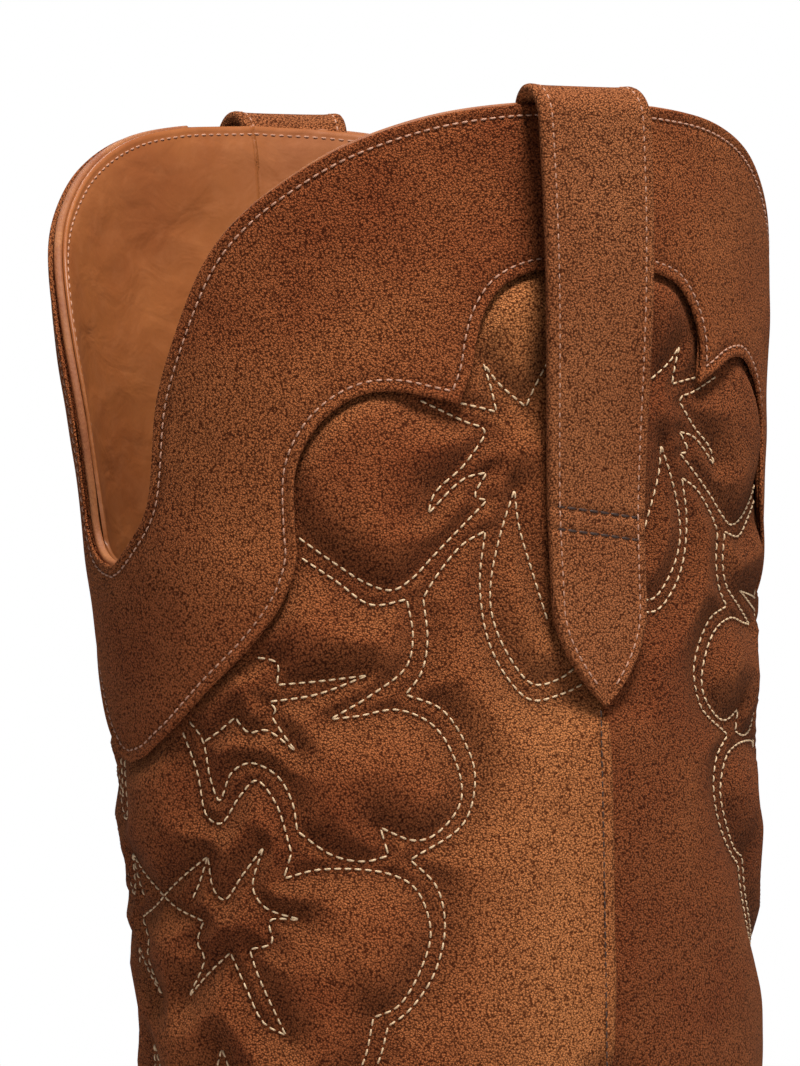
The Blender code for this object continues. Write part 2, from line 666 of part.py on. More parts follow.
HEEL_TOP_Z = SEAT_Z - OUTSOLE_FOOT - FACE_GAP
HEEL_TAPER = 2.6  # how far the heel's sides come in on the way down
BREAST_LEAN = 5.0  # how far the heel's front face goes back on the way down
HEEL_WIDTH = 33.8  # half of the heel's width at its top
BREAST_WIDTH = 0.985  # width of the heel's front face, as a share of the heel's widest part
WIDEST = 0.42  # how far back from the front face the heel is widest, as a share of its length
HEEL_NAILS = 5
NAIL_RADIUS = 1.3
NAIL_SPREAD = 100.0  # degrees each way from the back to the outermost nails
NAIL_RING_SETBACK = 26.0  # from the front face back to the middle of the nails' curve
NAIL_RING_LENGTH = 17.0
NAIL_RING_WIDTH = 22.0
NAIL_RECESS = 0.4


def heel_outline(z):
    """The heel's outline at a height: a straight front face and a round back."""
    share = np.clip(1 - z / HEEL_TOP_Z, 0, 1)
    breast = HEEL_BREAST_X + BREAST_LEAN * share**0.8
    back = HEEL_X - HEEL_SLOPE * share**0.75
    wide = HEEL_WIDTH - HEEL_TAPER * share**0.8
    turn = np.linspace(-math.pi / 2, math.pi / 2, 17)
    straight = breast + (back - breast) * WIDEST
    curve = [(straight + (back - straight) * math.cos(a) ** 0.92, wide * math.sin(a)) for a in turn]
    return [(breast, -wide * BREAST_WIDTH)] + curve + [(breast, wide * BREAST_WIDTH)]


def make_lift(name, look, low, high, collection):
    rings = [[(x, y + sole_shift(x), z) for x, y in heel_outline(z)] for z in (low, high)]
    return solid_of_rings(name, look, collection, np.array(rings))


def make_heel(collection, cutters):
    pitch = (HEEL_TOP_Z - TOP_LIFT_HEIGHT) / HEEL_LIFTS
    for i in range(HEEL_LIFTS):
        high = HEEL_TOP_Z - pitch * i
        make_lift(f"heel_lift_{i + 1}", STACK, high - pitch + FACE_GAP, high, collection)
    top_lift = make_lift("top_lift", RUBBER, 0.0, TOP_LIFT_HEIGHT, collection)
    for i in range(HEEL_NAILS):
        angle = math.radians(-NAIL_SPREAD + 2 * NAIL_SPREAD * i / (HEEL_NAILS - 1))
        x = HEEL_BREAST_X + BREAST_LEAN + NAIL_RING_SETBACK + NAIL_RING_LENGTH * math.cos(angle)
        y = NAIL_RING_WIDTH * math.sin(angle)
        low = (x, y, NAIL_RECESS)
        high = (x, y, TOP_LIFT_HEIGHT)
        name = f"heel_nail_{i + 1}"
        cylinder_between(name, low, high, NAIL_RADIUS, BRASS, collection)
        below = (x, y, -CUTTER_REACH)
        above = (x, y, TOP_LIFT_HEIGHT + CUTTER_REACH)
        cut(top_lift, cylinder_between(f"{name}_hole", below, above, NAIL_RADIUS + FACE_GAP, BRASS, cutters))


def main():
    clear_scene()
    boot = new_collection("cowboy_boot")
    cutters = new_collection("cutters")
    make_shaft(boot)
    make_pull_strap("pull_strap_lateral", 1, LATERAL_LEAN, boot)
    make_pull_strap("pull_strap_medial", -1, MEDIAL_LEAN, boot)
    make_vamp(boot)
    make_heel_cover(boot)
    make_sole(boot, cutters)
    make_heel(boot, cutters)


main()
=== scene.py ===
"""Looks of a left cowboy boot in quilted and stitched suede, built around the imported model.

The same skin as the model's carries every piece: a station number and an angle name a place on it, and a
depth goes square under it. Round the leg a place can also be given on the flat pattern, as a distance round
from the front line and a height. Lengths are in millimetres until a mesh is made, and MM turns them into
metres.
"""

import math

import bpy
import numpy as np
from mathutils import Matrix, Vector
from mathutils.kdtree import KDTree


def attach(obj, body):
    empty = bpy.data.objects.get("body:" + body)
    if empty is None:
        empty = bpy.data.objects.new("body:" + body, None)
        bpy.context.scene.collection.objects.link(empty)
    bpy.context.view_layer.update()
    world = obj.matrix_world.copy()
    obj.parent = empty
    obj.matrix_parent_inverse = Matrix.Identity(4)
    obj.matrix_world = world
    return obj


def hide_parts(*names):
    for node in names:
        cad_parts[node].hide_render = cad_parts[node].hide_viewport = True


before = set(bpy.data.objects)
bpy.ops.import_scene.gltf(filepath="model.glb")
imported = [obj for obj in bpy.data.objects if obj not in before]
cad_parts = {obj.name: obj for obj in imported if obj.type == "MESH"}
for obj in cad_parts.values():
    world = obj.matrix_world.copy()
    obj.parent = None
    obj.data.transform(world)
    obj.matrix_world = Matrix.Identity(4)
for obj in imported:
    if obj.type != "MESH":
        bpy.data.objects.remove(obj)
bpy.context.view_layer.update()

MM = 0.001
BODY = "root"
FINE = 1.0  # spacing of the surface's points

# ---------------------------------------------------------------- the boot's own dimensions

TOE_X = -138.3
HEEL_X = 140.5
TREAD_Z = 8.0
SEAM = 102.5  # from the front line round to the side seam, on the flat pattern

# Each layer's outer face, as a depth under the skin
COLLAR_THICKNESS = 1.2
PANEL_DEPTH = 1.9
PANEL_THICKNESS = 1.3
LINING_DEPTH = 3.8
FOOT_LINING_DEPTH = 3.95
LINING_THICKNESS = 0.8
VAMP_THICKNESS = 1.2

# Front x, front z, back x, back z, half width, share of the way from front to back where it is widest,
# exponent of the front half, exponent of the back half (2 is an ellipse, more is squarer), and sideways
# shift of the middle.
STATIONS = np.array(
    [
        (-18.5, 403, 141.5, 403, 61.1, 0.50, 2.0, 2.0, 0.0),
        (-12.8, 357, 141.2, 357, 58.9, 0.50, 2.0, 2.0, 0.0),
        (-4.3, 301, 140.5, 301, 55.2, 0.50, 2.0, 2.0, 0.0),
        (2.7, 243, 140.3, 243, 52.5, 0.50, 2.0, 2.0, 0.0),
        (8.3, 200, 139.5, 200, 50.2, 0.50, 2.0, 2.0, 0.0),
        (15.0, 170, 137.8, 170, 46.8, 0.50, 2.0, 2.0, 0.0),
        (20.8, 146, 135.8, 146, 43.5, 0.50, 2.0, 2.0, 0.0),
        (21.8, 136, 135.2, 122, 41.2, 0.50, 2.0, 2.0, 0.0),
        (20.0, 127, 136.5, 98, 38.8, 0.51, 2.0, 2.0, 0.0),
        (16.0, 119.5, 138.3, 76, 36.4, 0.54, 1.95, 2.1, 0.0),
        (11.5, 113.5, 135.5, 56, 34.4, 0.60, 1.9, 2.5, 0.0),
        (7.0, 109, 120, 49.3, 33.6, 0.68, 1.85, 3.2, 0.0),
        (1.5, 104, 95, 49, 33.4, 0.73, 1.8, 4.4, -0.3),
        (-5.0, 98.5, 66, 48.7, 33.2, 0.76, 1.75, 5.4, -1.0),
        (-13.0, 92.5, 38, 40.8, 33.6, 0.77, 1.75, 6.0, -2.0),
        (-24.0, 85, 8, 26.8, 36.0, 0.76, 1.8, 6.0, -2.0),
        (-38.0, 76, -20, 14.2, 41.0, 0.75, 1.85, 6.0, -1.2),
        (-55.0, 66.3, -45, 8.5, 44.4, 0.74, 1.9, 6.0, 0.0),
        (-74.0, 56.3, -68, TREAD_Z, 41.8, 0.72, 2.0, 5.6, 1.5),
        (-93.0, 47.3, -90, 9.4, 34.5, 0.70, 2.0, 5.0, 3.0),
        (-110.0, 39.8, -109, 12.4, 25.5, 0.67, 2.0, 4.4, 4.3),
        (-123.0, 34, -123, 15.2, 18.0, 0.64, 2.0, 3.8, 5.0),
        (-130.5, 29.8, -130.5, 17.0, 13.0, 0.60, 2.0, 3.2, 5.5),
        (-134.6, 26.6, -134.6, 18.2, 8.2, 0.55, 2.0, 2.6, 5.8),
        (-136.3, 19.4, -136.3, 19.4, 0.0, 0.50, 2.0, 2.0, 5.8),
    ]
)
ANKLE = 6  # the lowest level station
SEAT = 12  # the first station whose bottom rests on the sole
LAST = len(STATIONS) - 1
PATTERN_STATION = 2  # the flat pattern is drawn at this station's girth

# Half width of the sole along its length, from the toe to the heel
SOLE_EDGE = np.array(
    [
        (TOE_X, 1.5), (-137.6, 5.2), (-136.0, 8.6), (-132.4, 13.2),
        (-123.0, 20.4), (-110.0, 29.0), (-90.0, 38.2), (-68.0, 45.2),
        (-50.0, 47.6), (-36.0, 46.6), (-18.0, 41.6), (0.0, 35.2),
        (20.0, 30.6), (42.0, 30.0), (64.0, 32.4), (86.0, 34.2),
        (104.0, 33.6), (118.0, 29.8), (128.0, 24.0), (135.0, 16.2),
        (139.0, 8.4), (HEEL_X, 1.5),
    ]
)


# ---------------------------------------------------------------- small sums


def unit(vectors, least=0.0):
    """The vectors brought to a length of 1."""
    return vectors / np.maximum(np.linalg.norm(vectors, axis=-1, keepdims=True), least)


def bell(distance, width, power=2):
    """1 at a distance of 0, and falling away over about the width."""
    return np.exp(-((distance / width) ** power))


def fall(value, at, width):
    """1 well below a value and 0 well above it."""
    return 1 / (1 + np.exp((value - at) / width))


def run_along(points, power=1.0):
    """How far along a path each of its points lies."""
    return np.concatenate([[0], np.cumsum(np.linalg.norm(np.diff(points, axis=0), axis=1) ** power)])


def places_at(at, stops, values):
    """Rows of values, read off between the stops."""
    return np.stack([np.interp(at, stops, column) for column in values.T], -1)


def picked(line, count):
    """A number of points at even steps through a line, with both of its ends."""
    return line[np.linspace(0, len(line) - 1, count).astype(int)]


def tree_of(dots):
    tree = KDTree(len(dots))
    for i, dot in enumerate(dots):
        tree.insert(dot, i)
    tree.balance()
    return tree


# ---------------------------------------------------------------- the skin


def smooth(stops, values, at):
    """A cubic curve through the values at the stops."""
    at = np.clip(np.asarray(at, float), stops[0], stops[-1])
    i = np.clip(np.searchsorted(stops, at, side="right") - 1, 0, len(stops) - 2)
    slope = np.gradient(values, stops, axis=0)
    width = stops[i + 1] - stops[i]
    t = (at - stops[i]) / width
    return (
        (2 * t**3 - 3 * t**2 + 1) * values[i]
        + (t**3 - 2 * t**2 + t) * width * slope[i]
        + (3 * t**2 - 2 * t**3) * values[i + 1]
        + (t**3 - t**2) * width * slope[i + 1]
    )


def bare_skin(station, angle):
    stops = np.arange(len(STATIONS), dtype=float)
    row = [smooth(stops, STATIONS[:, k], station) for k in range(STATIONS.shape[1])]
    front = np.stack(row[0:2], -1)
    back = np.stack(row[2:4], -1)
    half_width, widest, front_power, back_power, shift = row[4:]
    angle = (angle + 180) % 360 - 180
    turn = np.radians(np.abs(angle))
    power = 2.0 / np.where(turn < math.pi / 2, front_power, back_power)
    across = np.abs(np.sin(turn)) ** power
    over = np.abs(np.cos(turn)) ** power
    share = np.where(turn < math.pi / 2, widest * (1 - over), widest + (1 - widest) * over)
    place = front + (back - front) * share[..., None]
    side = -np.sign(angle) * half_width * across
    return np.stack([place[..., 0], side + shift, place[..., 1]], -1)


def skin(station, angle, depth=0.0):
    """Points of the skin, or of the surface at a depth under it. Angles are in degrees."""
    station, angle, depth = np.broadcast_arrays(
        np.asarray(station, float), np.asarray(angle, float), np.asarray(depth, float)
    )
    inner_station = np.clip(station, 0.02, LAST - 0.02)
    along = bare_skin(inner_station + 0.02, angle) - bare_skin(inner_station - 0.02, angle)
    around = bare_skin(inner_station, angle + 0.2) - bare_skin(inner_station, angle - 0.2)
    return bare_skin(station, angle) - unit(np.cross(along, around)) * depth[..., None]


def station_at(z):
    """The level station at a height on the shaft."""
    stations = np.linspace(0, ANKLE, 400)
    heights = bare_skin(stations, 0 * stations)[:, 2]
    return np.interp(-np.asarray(z, float), -heights, stations)


def pattern_table():
    """Distances round the flat pattern from the front line, and the angles that they belong to."""
    angles = np.linspace(-360, 360, 2881)
    distances = run_along(bare_skin(np.full(angles.shape, float(PATTERN_STATION)), angles))
    return distances - np.interp(0, angles, distances), angles


PATTERN_DISTANCES, PATTERN_ANGLES = pattern_table()
HALF_GIRTH = np.interp(180, PATTERN_ANGLES, PATTERN_DISTANCES)


def angle_at(distance):
    return np.interp(distance, PATTERN_DISTANCES, PATTERN_ANGLES)


# ---------------------------------------------------------------- outlines on the flat pattern


def spline(points, step=1.0):
    """A smooth run through the points, as evenly spaced points."""
    points = np.asarray(points, float)
    if len(points) == 2:
        fine = points
    else:
        length = run_along(points, 0.5)
        at = np.linspace(0, length[-1], 12 * len(points))
        fine = np.stack([smooth(length, column, at) for column in points.T], -1)
    return resample(fine, step)


def resample(points, step):
    length = run_along(points)
    count = max(2, int(round(length[-1] / step)) + 1)
    return places_at(np.linspace(0, length[-1], count), length, points)


def square_to(points):
    """The direction to the left of a flat path, at each of its points."""
    along = unit(np.gradient(points, axis=0))
    return np.stack([-along[:, 1], along[:, 0]], -1)


def offset_path(points, distance):
    """The path moved to its left by a distance."""
    return points + square_to(points) * distance


def signed_distance(distance):
    """The distance from the front line, wrapped so that it is negative on the medial side."""
    return (np.asarray(distance, float) + HALF_GIRTH) % (2 * HALF_GIRTH) - HALF_GIRTH


def from_front_line(distance):
    return np.abs(signed_distance(distance))


# The rim, from the bottom of the front dip up to the side, as the outer cut edge
RIM = spline(
    [(0, 306.8), (3, 307.9), (6.2, 311), (9, 316.5), (11.2, 325), (14.3, 338), (19.5, 350), (28, 366)]
    + [(35, 374), (45, 381.7), (55, 387.6), (70, 393.1), (85, 395.8), (102.5, 396.8)],
    0.5,
)
DIP_SHIFT = 5.5  # how far the front dip lies to the medial side of the front line
DIP_BULGE = 4.0  # how much rounder its lower end is on that side


def rim_path(back, side):
    """The rim of one quarter of the shaft, from its dip to the seam."""
    away, z = RIM[:, 0], RIM[:, 1]
    if back:
        high = z + 2.0 * bell(away - 55, 25)
        return np.stack([side * (HALF_GIRTH - away * (HALF_GIRTH - SEAM) / SEAM), high], -1)
    spread = 8.0 if side > 0 else 36.0
    place = side * away - DIP_SHIFT * bell(z - z[0], spread)
    if side > 0:
        return np.stack([place, z], -1)
    climb = (z - z[0]) / 5.0
    place -= DIP_BULGE * climb * np.exp(1 - climb)
    return np.stack([place, z - 2.2 * bell(away - 42, 22)], -1)


def whole(back, quarter):
    """Both quarters of a line over the front or the back, in order round the leg."""
    medial, lateral = quarter(back, -1), quarter(back, 1)
    if back:
        return np.concatenate([lateral[::-1], (medial + (2 * HALF_GIRTH, 0))[1:]])
    return np.concatenate([medial[::-1], lateral[1:]])


# The collar's scalloped lower edge, from the front line to the seam: smooth runs that meet at its notches
COLLAR_EDGE_RUNS = [
    [(-6, 268.2), (0, 269.4), (5, 272), (10, 275), (20, 283), (30, 291.5), (37, 300), (40.2, 308)]
    + [(40.4, 314), (41.5, 325), (45, 332), (50, 337), (56, 340), (62, 340.4), (68, 339.2), (73.5, 338)],
    [(73.5, 338), (76.2, 345), (77.2, 350), (79, 355.5), (82.5, 360.5), (88, 363.4), (95, 364.6)]
    + [(102.5, 365)],
]


def joined(runs, step=1.0):
    lines = [spline(run, step) for run in runs]
    return np.concatenate([line if i == 0 else line[1:] for i, line in enumerate(lines)])


COLLAR_EDGE = joined(COLLAR_EDGE_RUNS, 0.5)
BACK_EDGE = joined(
    [
        [(205, 292.3), (200, 293), (195, 295), (185, 301.3), (175, 307.9), (168, 314.5), (164.8, 320.8)]
        + [(164.6, 325.5), (163.5, 334), (160, 340), (155, 345), (149, 348), (143, 347.6), (137, 345)]
        + [(131, 342.4)],
        [(131, 342.4), (131.8, 347), (131.5, 351.5), (129, 357), (124.5, 361.8), (118, 364)]
        + [(110, 364.8), (102.5, 365)],
    ],
    0.5,
)
# The back's motifs are the front's, mirrored at the seam and drawn up towards the collar
BACK_SQUASH = 0.80
BACK_LEVEL = 366.0


def to_back(points):
    points = np.array(points, float)
    return np.stack([2 * SEAM - points[:, 0], BACK_LEVEL - (BACK_LEVEL - points[:, 1]) * BACK_SQUASH], -1)


def front_collar_edge(side):
    """The front collar's lower edge on one side. Both sides meet a little to the medial side."""
    away, z = COLLAR_EDGE.T
    if side > 0:
        return COLLAR_EDGE
    stretch = np.clip(1 - (away - away[0]) / 46.0, 0, 1)
    return np.stack([2 * away[0] * stretch - away, z], -1)


def collar_height(distance):
    away = from_front_line(distance)
    line = np.concatenate([front_collar_edge(-1)[::-1], front_collar_edge(1)])
    front = np.interp(signed_distance(distance), np.maximum.accumulate(line[:, 0]), line[:, 1])
    behind = BACK_EDGE[::-1]
    back = np.interp(away, np.maximum.accumulate(behind[:, 0]), behind[:, 1])
    return np.where(away < SEAM, front, back)


# Stitched motifs of one quarter of the shaft. Each is a list of smooth runs that meet at corners.
UPPER_LOBE = [
    [(40.2, 312.5), (47, 307.5), (53.5, 303.3), (58.5, 302), (62.5, 304.2), (67.5, 309), (78.6, 319.4)],
    [(78.6, 319.4), (76.2, 320.2), (78.8, 324.8)],
    [(78.8, 324.8), (74, 323.5), (66.5, 316.8)],
    [(66.5, 316.8), (68, 320.7), (74, 326), (78.8, 332)],
    [(78.8, 332), (78.4, 333.3), (75, 334.5), (66, 338.7)],
]
LOBE_NOTCH = [[(73.3, 338.3), (78, 337.3), (81.3, 336.5)], [(81.3, 336.5), (80.5, 340.5), (79, 346)]]
ARCH_FOOT = [[(79.3, 345.5), (82, 342), (87.5, 337.5)], [(87.5, 337.5), (89.3, 341), (93, 347)]]
MIDDLE_LOBES = [
    [(40.8, 308.3), (47.5, 303.7), (54, 299.2), (61.3, 300.2)],
    [(61.3, 300.2), (62.1, 293), (60.5, 287.3), (53, 281.7), (44.5, 277)],
    [(44.5, 277), (50, 277.6), (58.5, 278.8), (66, 275.2), (70.5, 266), (70.2, 260.5), (64.5, 254.5)]
    + [(60, 253.5), (53.3, 256)],
    [(53.3, 256), (54.7, 250.5)],
    [(54.7, 250.5), (49.5, 249.4), (43, 250.6), (36, 255.2)],
    [(36, 255.2), (35.3, 261), (32.5, 266), (27, 268.4), (22.5, 266.5), (19, 261), (17.3, 265)]
    + [(16, 273), (13, 276.5)],
]
MIDDLE_BRANCH = [
    [(16.3, 272.3), (19.5, 274), (24.3, 277.2)],
    [(24.3, 277.2), (27, 274.4), (31, 274.8), (36.8, 270.8)],
    [(36.8, 270.8), (34, 274.8), (32.3, 277.5)],
    [(32.3, 277.5), (33.3, 278.8), (32, 280.3)],
    [(32, 280.3), (42, 281.8), (52.5, 285.5)],
    [(52.5, 285.5), (43, 284.4), (34, 283.6)],
    [(34, 283.6), (34.3, 287.8), (30, 289)],
]
OUTER_LOBES = [
    [(78, 313.5), (73, 310.7), (67.5, 304.7), (64.6, 300.5)],
    [(64.6, 300.5), (65, 292), (63.4, 286), (60, 281.8)],
    [(60, 281.8), (67.5, 278.7), (72.5, 271), (73.7, 265.5), (71, 257), (59.2, 249.7)],
    [(59.2, 249.7), (64.5, 244.3), (65.8, 236.5), (63, 227.5), (57, 220.2), (52.5, 217.3)],
    [(52.5, 217.3), (50, 210.5), (44, 202), (32, 193), (17, 184.5), (0, 170)],
]
PETAL = [
    [(78, 313.5), (76.4, 303.5), (77.5, 293), (81, 285.7), (86.5, 280.7), (94, 281.8), (101, 284.5)],
    [(84.5, 321.5), (81.2, 313), (78.8, 304), (78.6, 298), (81, 291), (87, 283.8), (93, 284.6), (99, 288)],
    [(84.5, 321.5), (85.2, 314.5), (88, 305), (91, 296)],
]
INNER_LOBE = [
    [(11, 274.5), (14, 266.5), (15.5, 258), (18.8, 256.5), (24, 262), (28, 265), (31.7, 260.8), (34.4, 251)],
    [(34.4, 251), (32.3, 246)],
    [(32.3, 246), (40.5, 247.8), (54.5, 247), (60, 244), (62.7, 236), (60.5, 229), (55, 221.3), (49.5, 219)],
    [(49.5, 219), (46.5, 210), (40, 202.8), (29, 195.5), (15, 187.5), (0, 175)],
]
STAR = [
    [(14.8, 250), (15.6, 243.5), (18, 241.6), (23, 246.5), (28.3, 252)],
    [(28.3, 252), (25.2, 244), (27.5, 240.4), (35, 238)],
    [(35, 238), (28.4, 237.6), (28.5, 233.5), (23.2, 232)],
    [(23.2, 232), (24.5, 227.5), (30, 215.3)],
    [(30, 215.3), (25, 217.8), (21.3, 225), (18.4, 231.3)],
    [(18.4, 231.3), (12, 227), (5.5, 222.3)],
    [(5.5, 222.3), (11.2, 230), (9.7, 233), (12, 237.3)],
    [(12, 237.3), (4, 239.8), (-3, 243.6), (-14.8, 250)],
    [(14.8, 250), (12, 245), (9.4, 241.5)],
]
LOW_DIAMOND = [[(13.7, 212.3), (17.5, 204), (25, 197)], [(13.7, 212.3), (9, 204), (0, 196)]]
LOW_FLAME = [
    [(0, 152), (7, 160), (18, 166), (31, 164), (40, 156), (50, 152), (60, 155), (66, 163), (63, 172)],
    [(63, 172), (74, 170), (86, 178), (94, 190), (101, 204)],
    [(0, 146), (9, 155.5), (18, 161), (29, 159.5), (38, 152), (50, 147.5), (62, 151), (69.5, 160)]
    + [(70.5, 165.5)],
    [(70.5, 165.5), (82, 169), (93, 180), (101, 192)],
]
MOTIFS = [UPPER_LOBE, LOBE_NOTCH, ARCH_FOOT, MIDDLE_LOBES, MIDDLE_BRANCH, OUTER_LOBES, PETAL, INNER_LOBE]
MOTIFS += [STAR, LOW_DIAMOND]


def quarter_rows(back, side):
    """The motif rows of one quarter of the shaft, as paths on the flat pattern."""
    rows = []
    for motif in MOTIFS + [LOW_FLAME]:
        for run in motif:
            points = np.array(run, float)
            if back and motif is LOW_FLAME:
                points[:, 0] = 2 * SEAM - points[:, 0]
            elif back:
                points = to_back(run)
            points[:, 0] *= side
            rows.append(spline(points, 0.5))
    return rows


def on_skin(path, depth=0.0):
    return skin(station_at(path[:, 1]), angle_at(path[:, 0]), depth)


# ---------------------------------------------------------------- meshes


def placed(name, data):
    """A new object in the scene."""
    obj = bpy.data.objects.new(name, data)
    bpy.context.scene.collection.objects.link(obj)
    return obj


def add_mesh(name, points, faces, material):
    data = bpy.data.meshes.new(name)
    faces = faces.tolist() if hasattr(faces, "tolist") else faces
    data.from_pydata((np.asarray(points) * MM).tolist(), [], faces)
    data.update()
    data.shade_smooth()
    data.materials.append(material)
    return placed(name, data)


def grid_faces(rows, columns, closed=False, keep=None):
    i, j = np.meshgrid(np.arange(rows - 1), np.arange(columns - (0 if closed else 1)), indexing="ij")
    k = (j + 1) % columns
    faces = np.stack([i * columns + j, i * columns + k, (i + 1) * columns + k, (i + 1) * columns + j], -1)
    if keep is not None:
        faces = faces[keep]
    return faces.reshape(-1, 4)


def tube(name, rings, material, flip=False, flip_ends=None):
    """A closed piece through rings of points, with a face over each end."""
    rings = np.asarray(rings)
    rows, count = rings.shape[:2]
    faces = grid_faces(rows, count, True)
    ends = [list(range(count))[::-1], [(rows - 1) * count + k for k in range(count)]]
    if flip:
        faces = faces[:, ::-1]
    if flip if flip_ends is None else flip_ends:
        ends = [end[::-1] for end in ends]
    return add_mesh(name, rings.reshape(-1, 3), faces.tolist() + ends, material)


def add_values(obj, name, values):
    attribute = obj.data.attributes.new(name, "FLOAT", "POINT")
    attribute.data.foreach_set("value", np.asarray(values, np.float32).ravel())


def solidified(obj, thickness):
    """Thickens a sheet inwards, away from its faces' outer side."""
    modifier = obj.modifiers.new("Thickness", "SOLIDIFY")
    modifier.thickness = thickness * MM
    modifier.offset = -1
    return obj


def finished(obj, slot, *nodes):
    """Gives a piece its body, and hides the model's nodes that it stands in for. Its slot is not used."""
    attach(obj, BODY)
    if nodes:
        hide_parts(*nodes)
    return obj


def distances_to(points, paths):
    """Each point's distance to the nearest of the paths."""
    tree = tree_of(np.concatenate(paths))
    flat = points.reshape(-1, 3)
    return np.array([tree.find(point)[2] for point in flat]).reshape(points.shape[:-1])


def waves(points, size, seed):
    """A gentle, repeatable unevenness between -1 and 1, with swells of about the given size."""
    rng = np.random.default_rng(seed)
    total = np.zeros(points.shape[:-1])
    for _ in range(7):
        direction = unit(rng.normal(size=3))
        length = size * rng.uniform(0.7, 1.6)
        total += np.sin(points @ direction * 2 * math.pi / length + rng.uniform(0, 2 * math.pi))
    return total / 4.0


# ---------------------------------------------------------------- thread

STITCH_PITCH = 1.95
STITCH_LENGTH = 1.35
THREAD_RADIUS = 0.2
THREAD_SIDES = 6
FLATNESS = 0.85  # of a thread's height, against its width


def stitch_mesh(name, paths, material, pitch=STITCH_PITCH, length=STITCH_LENGTH, radius=THREAD_RADIUS):
    """Short threads laid along paths. A path is an array of points with the outward direction at each."""
    along = np.array([-0.5, -0.42, -0.2, 0.0, 0.2, 0.42, 0.5])
    swell = np.array([0.25, 0.8, 1.0, 1.0, 1.0, 0.8, 0.25])
    sink = np.array([1.15, 0.55, 0.1, 0.0, 0.1, 0.55, 1.15])
    turn = np.arange(THREAD_SIDES) * 2 * math.pi / THREAD_SIDES
    points = []
    faces = []
    ring_faces = grid_faces(len(along), THREAD_SIDES, True)
    first_cap = list(range(THREAD_SIDES))[::-1]
    last_cap = [(len(along) - 1) * THREAD_SIDES + k for k in range(THREAD_SIDES)]
    base = 0
    for path, outward in paths:
        run = run_along(path)
        count = int(run[-1] / pitch)
        if count < 1:
            continue
        step = run[-1] / count
        for i in range(count):
            at = np.clip((i + 0.5) * step + along * length * step / pitch, 0, run[-1])
            centre = places_at(at, run, path)
            up = unit(places_at(at, run, outward))
            side = unit(np.cross(unit(np.gradient(centre, axis=0), 1e-9), up), 1e-9)
            centre = centre - up * (sink * radius)[:, None]
            ring = (
                centre[:, None]
                + side[:, None] * (np.cos(turn)[None, :, None] * (swell * radius)[:, None, None])
                + up[:, None] * (np.sin(turn)[None, :, None] * (swell * radius * FLATNESS)[:, None, None])
            )
            points.append(ring.reshape(-1, 3))
            faces += (ring_faces + base).tolist()
            faces.append([base + k for k in first_cap])
            faces.append([base + k for k in last_cap])
            base += len(along) * THREAD_SIDES
    return add_mesh(name, np.concatenate(points), faces, material)


def with_outward(station, angle, depth):
    """Points of the skin or under it, with the outward direction at each."""
    low = skin(station, angle, depth)
    return low, skin(station, angle, np.asarray(depth) - 1.0) - low


def laid_path(path, depth):
    """A path on the flat pattern as points on the shaft, with the outward direction at each."""
    return with_outward(station_at(path[:, 1]), angle_at(path[:, 0]), depth)


# ---------------------------------------------------------------- materials


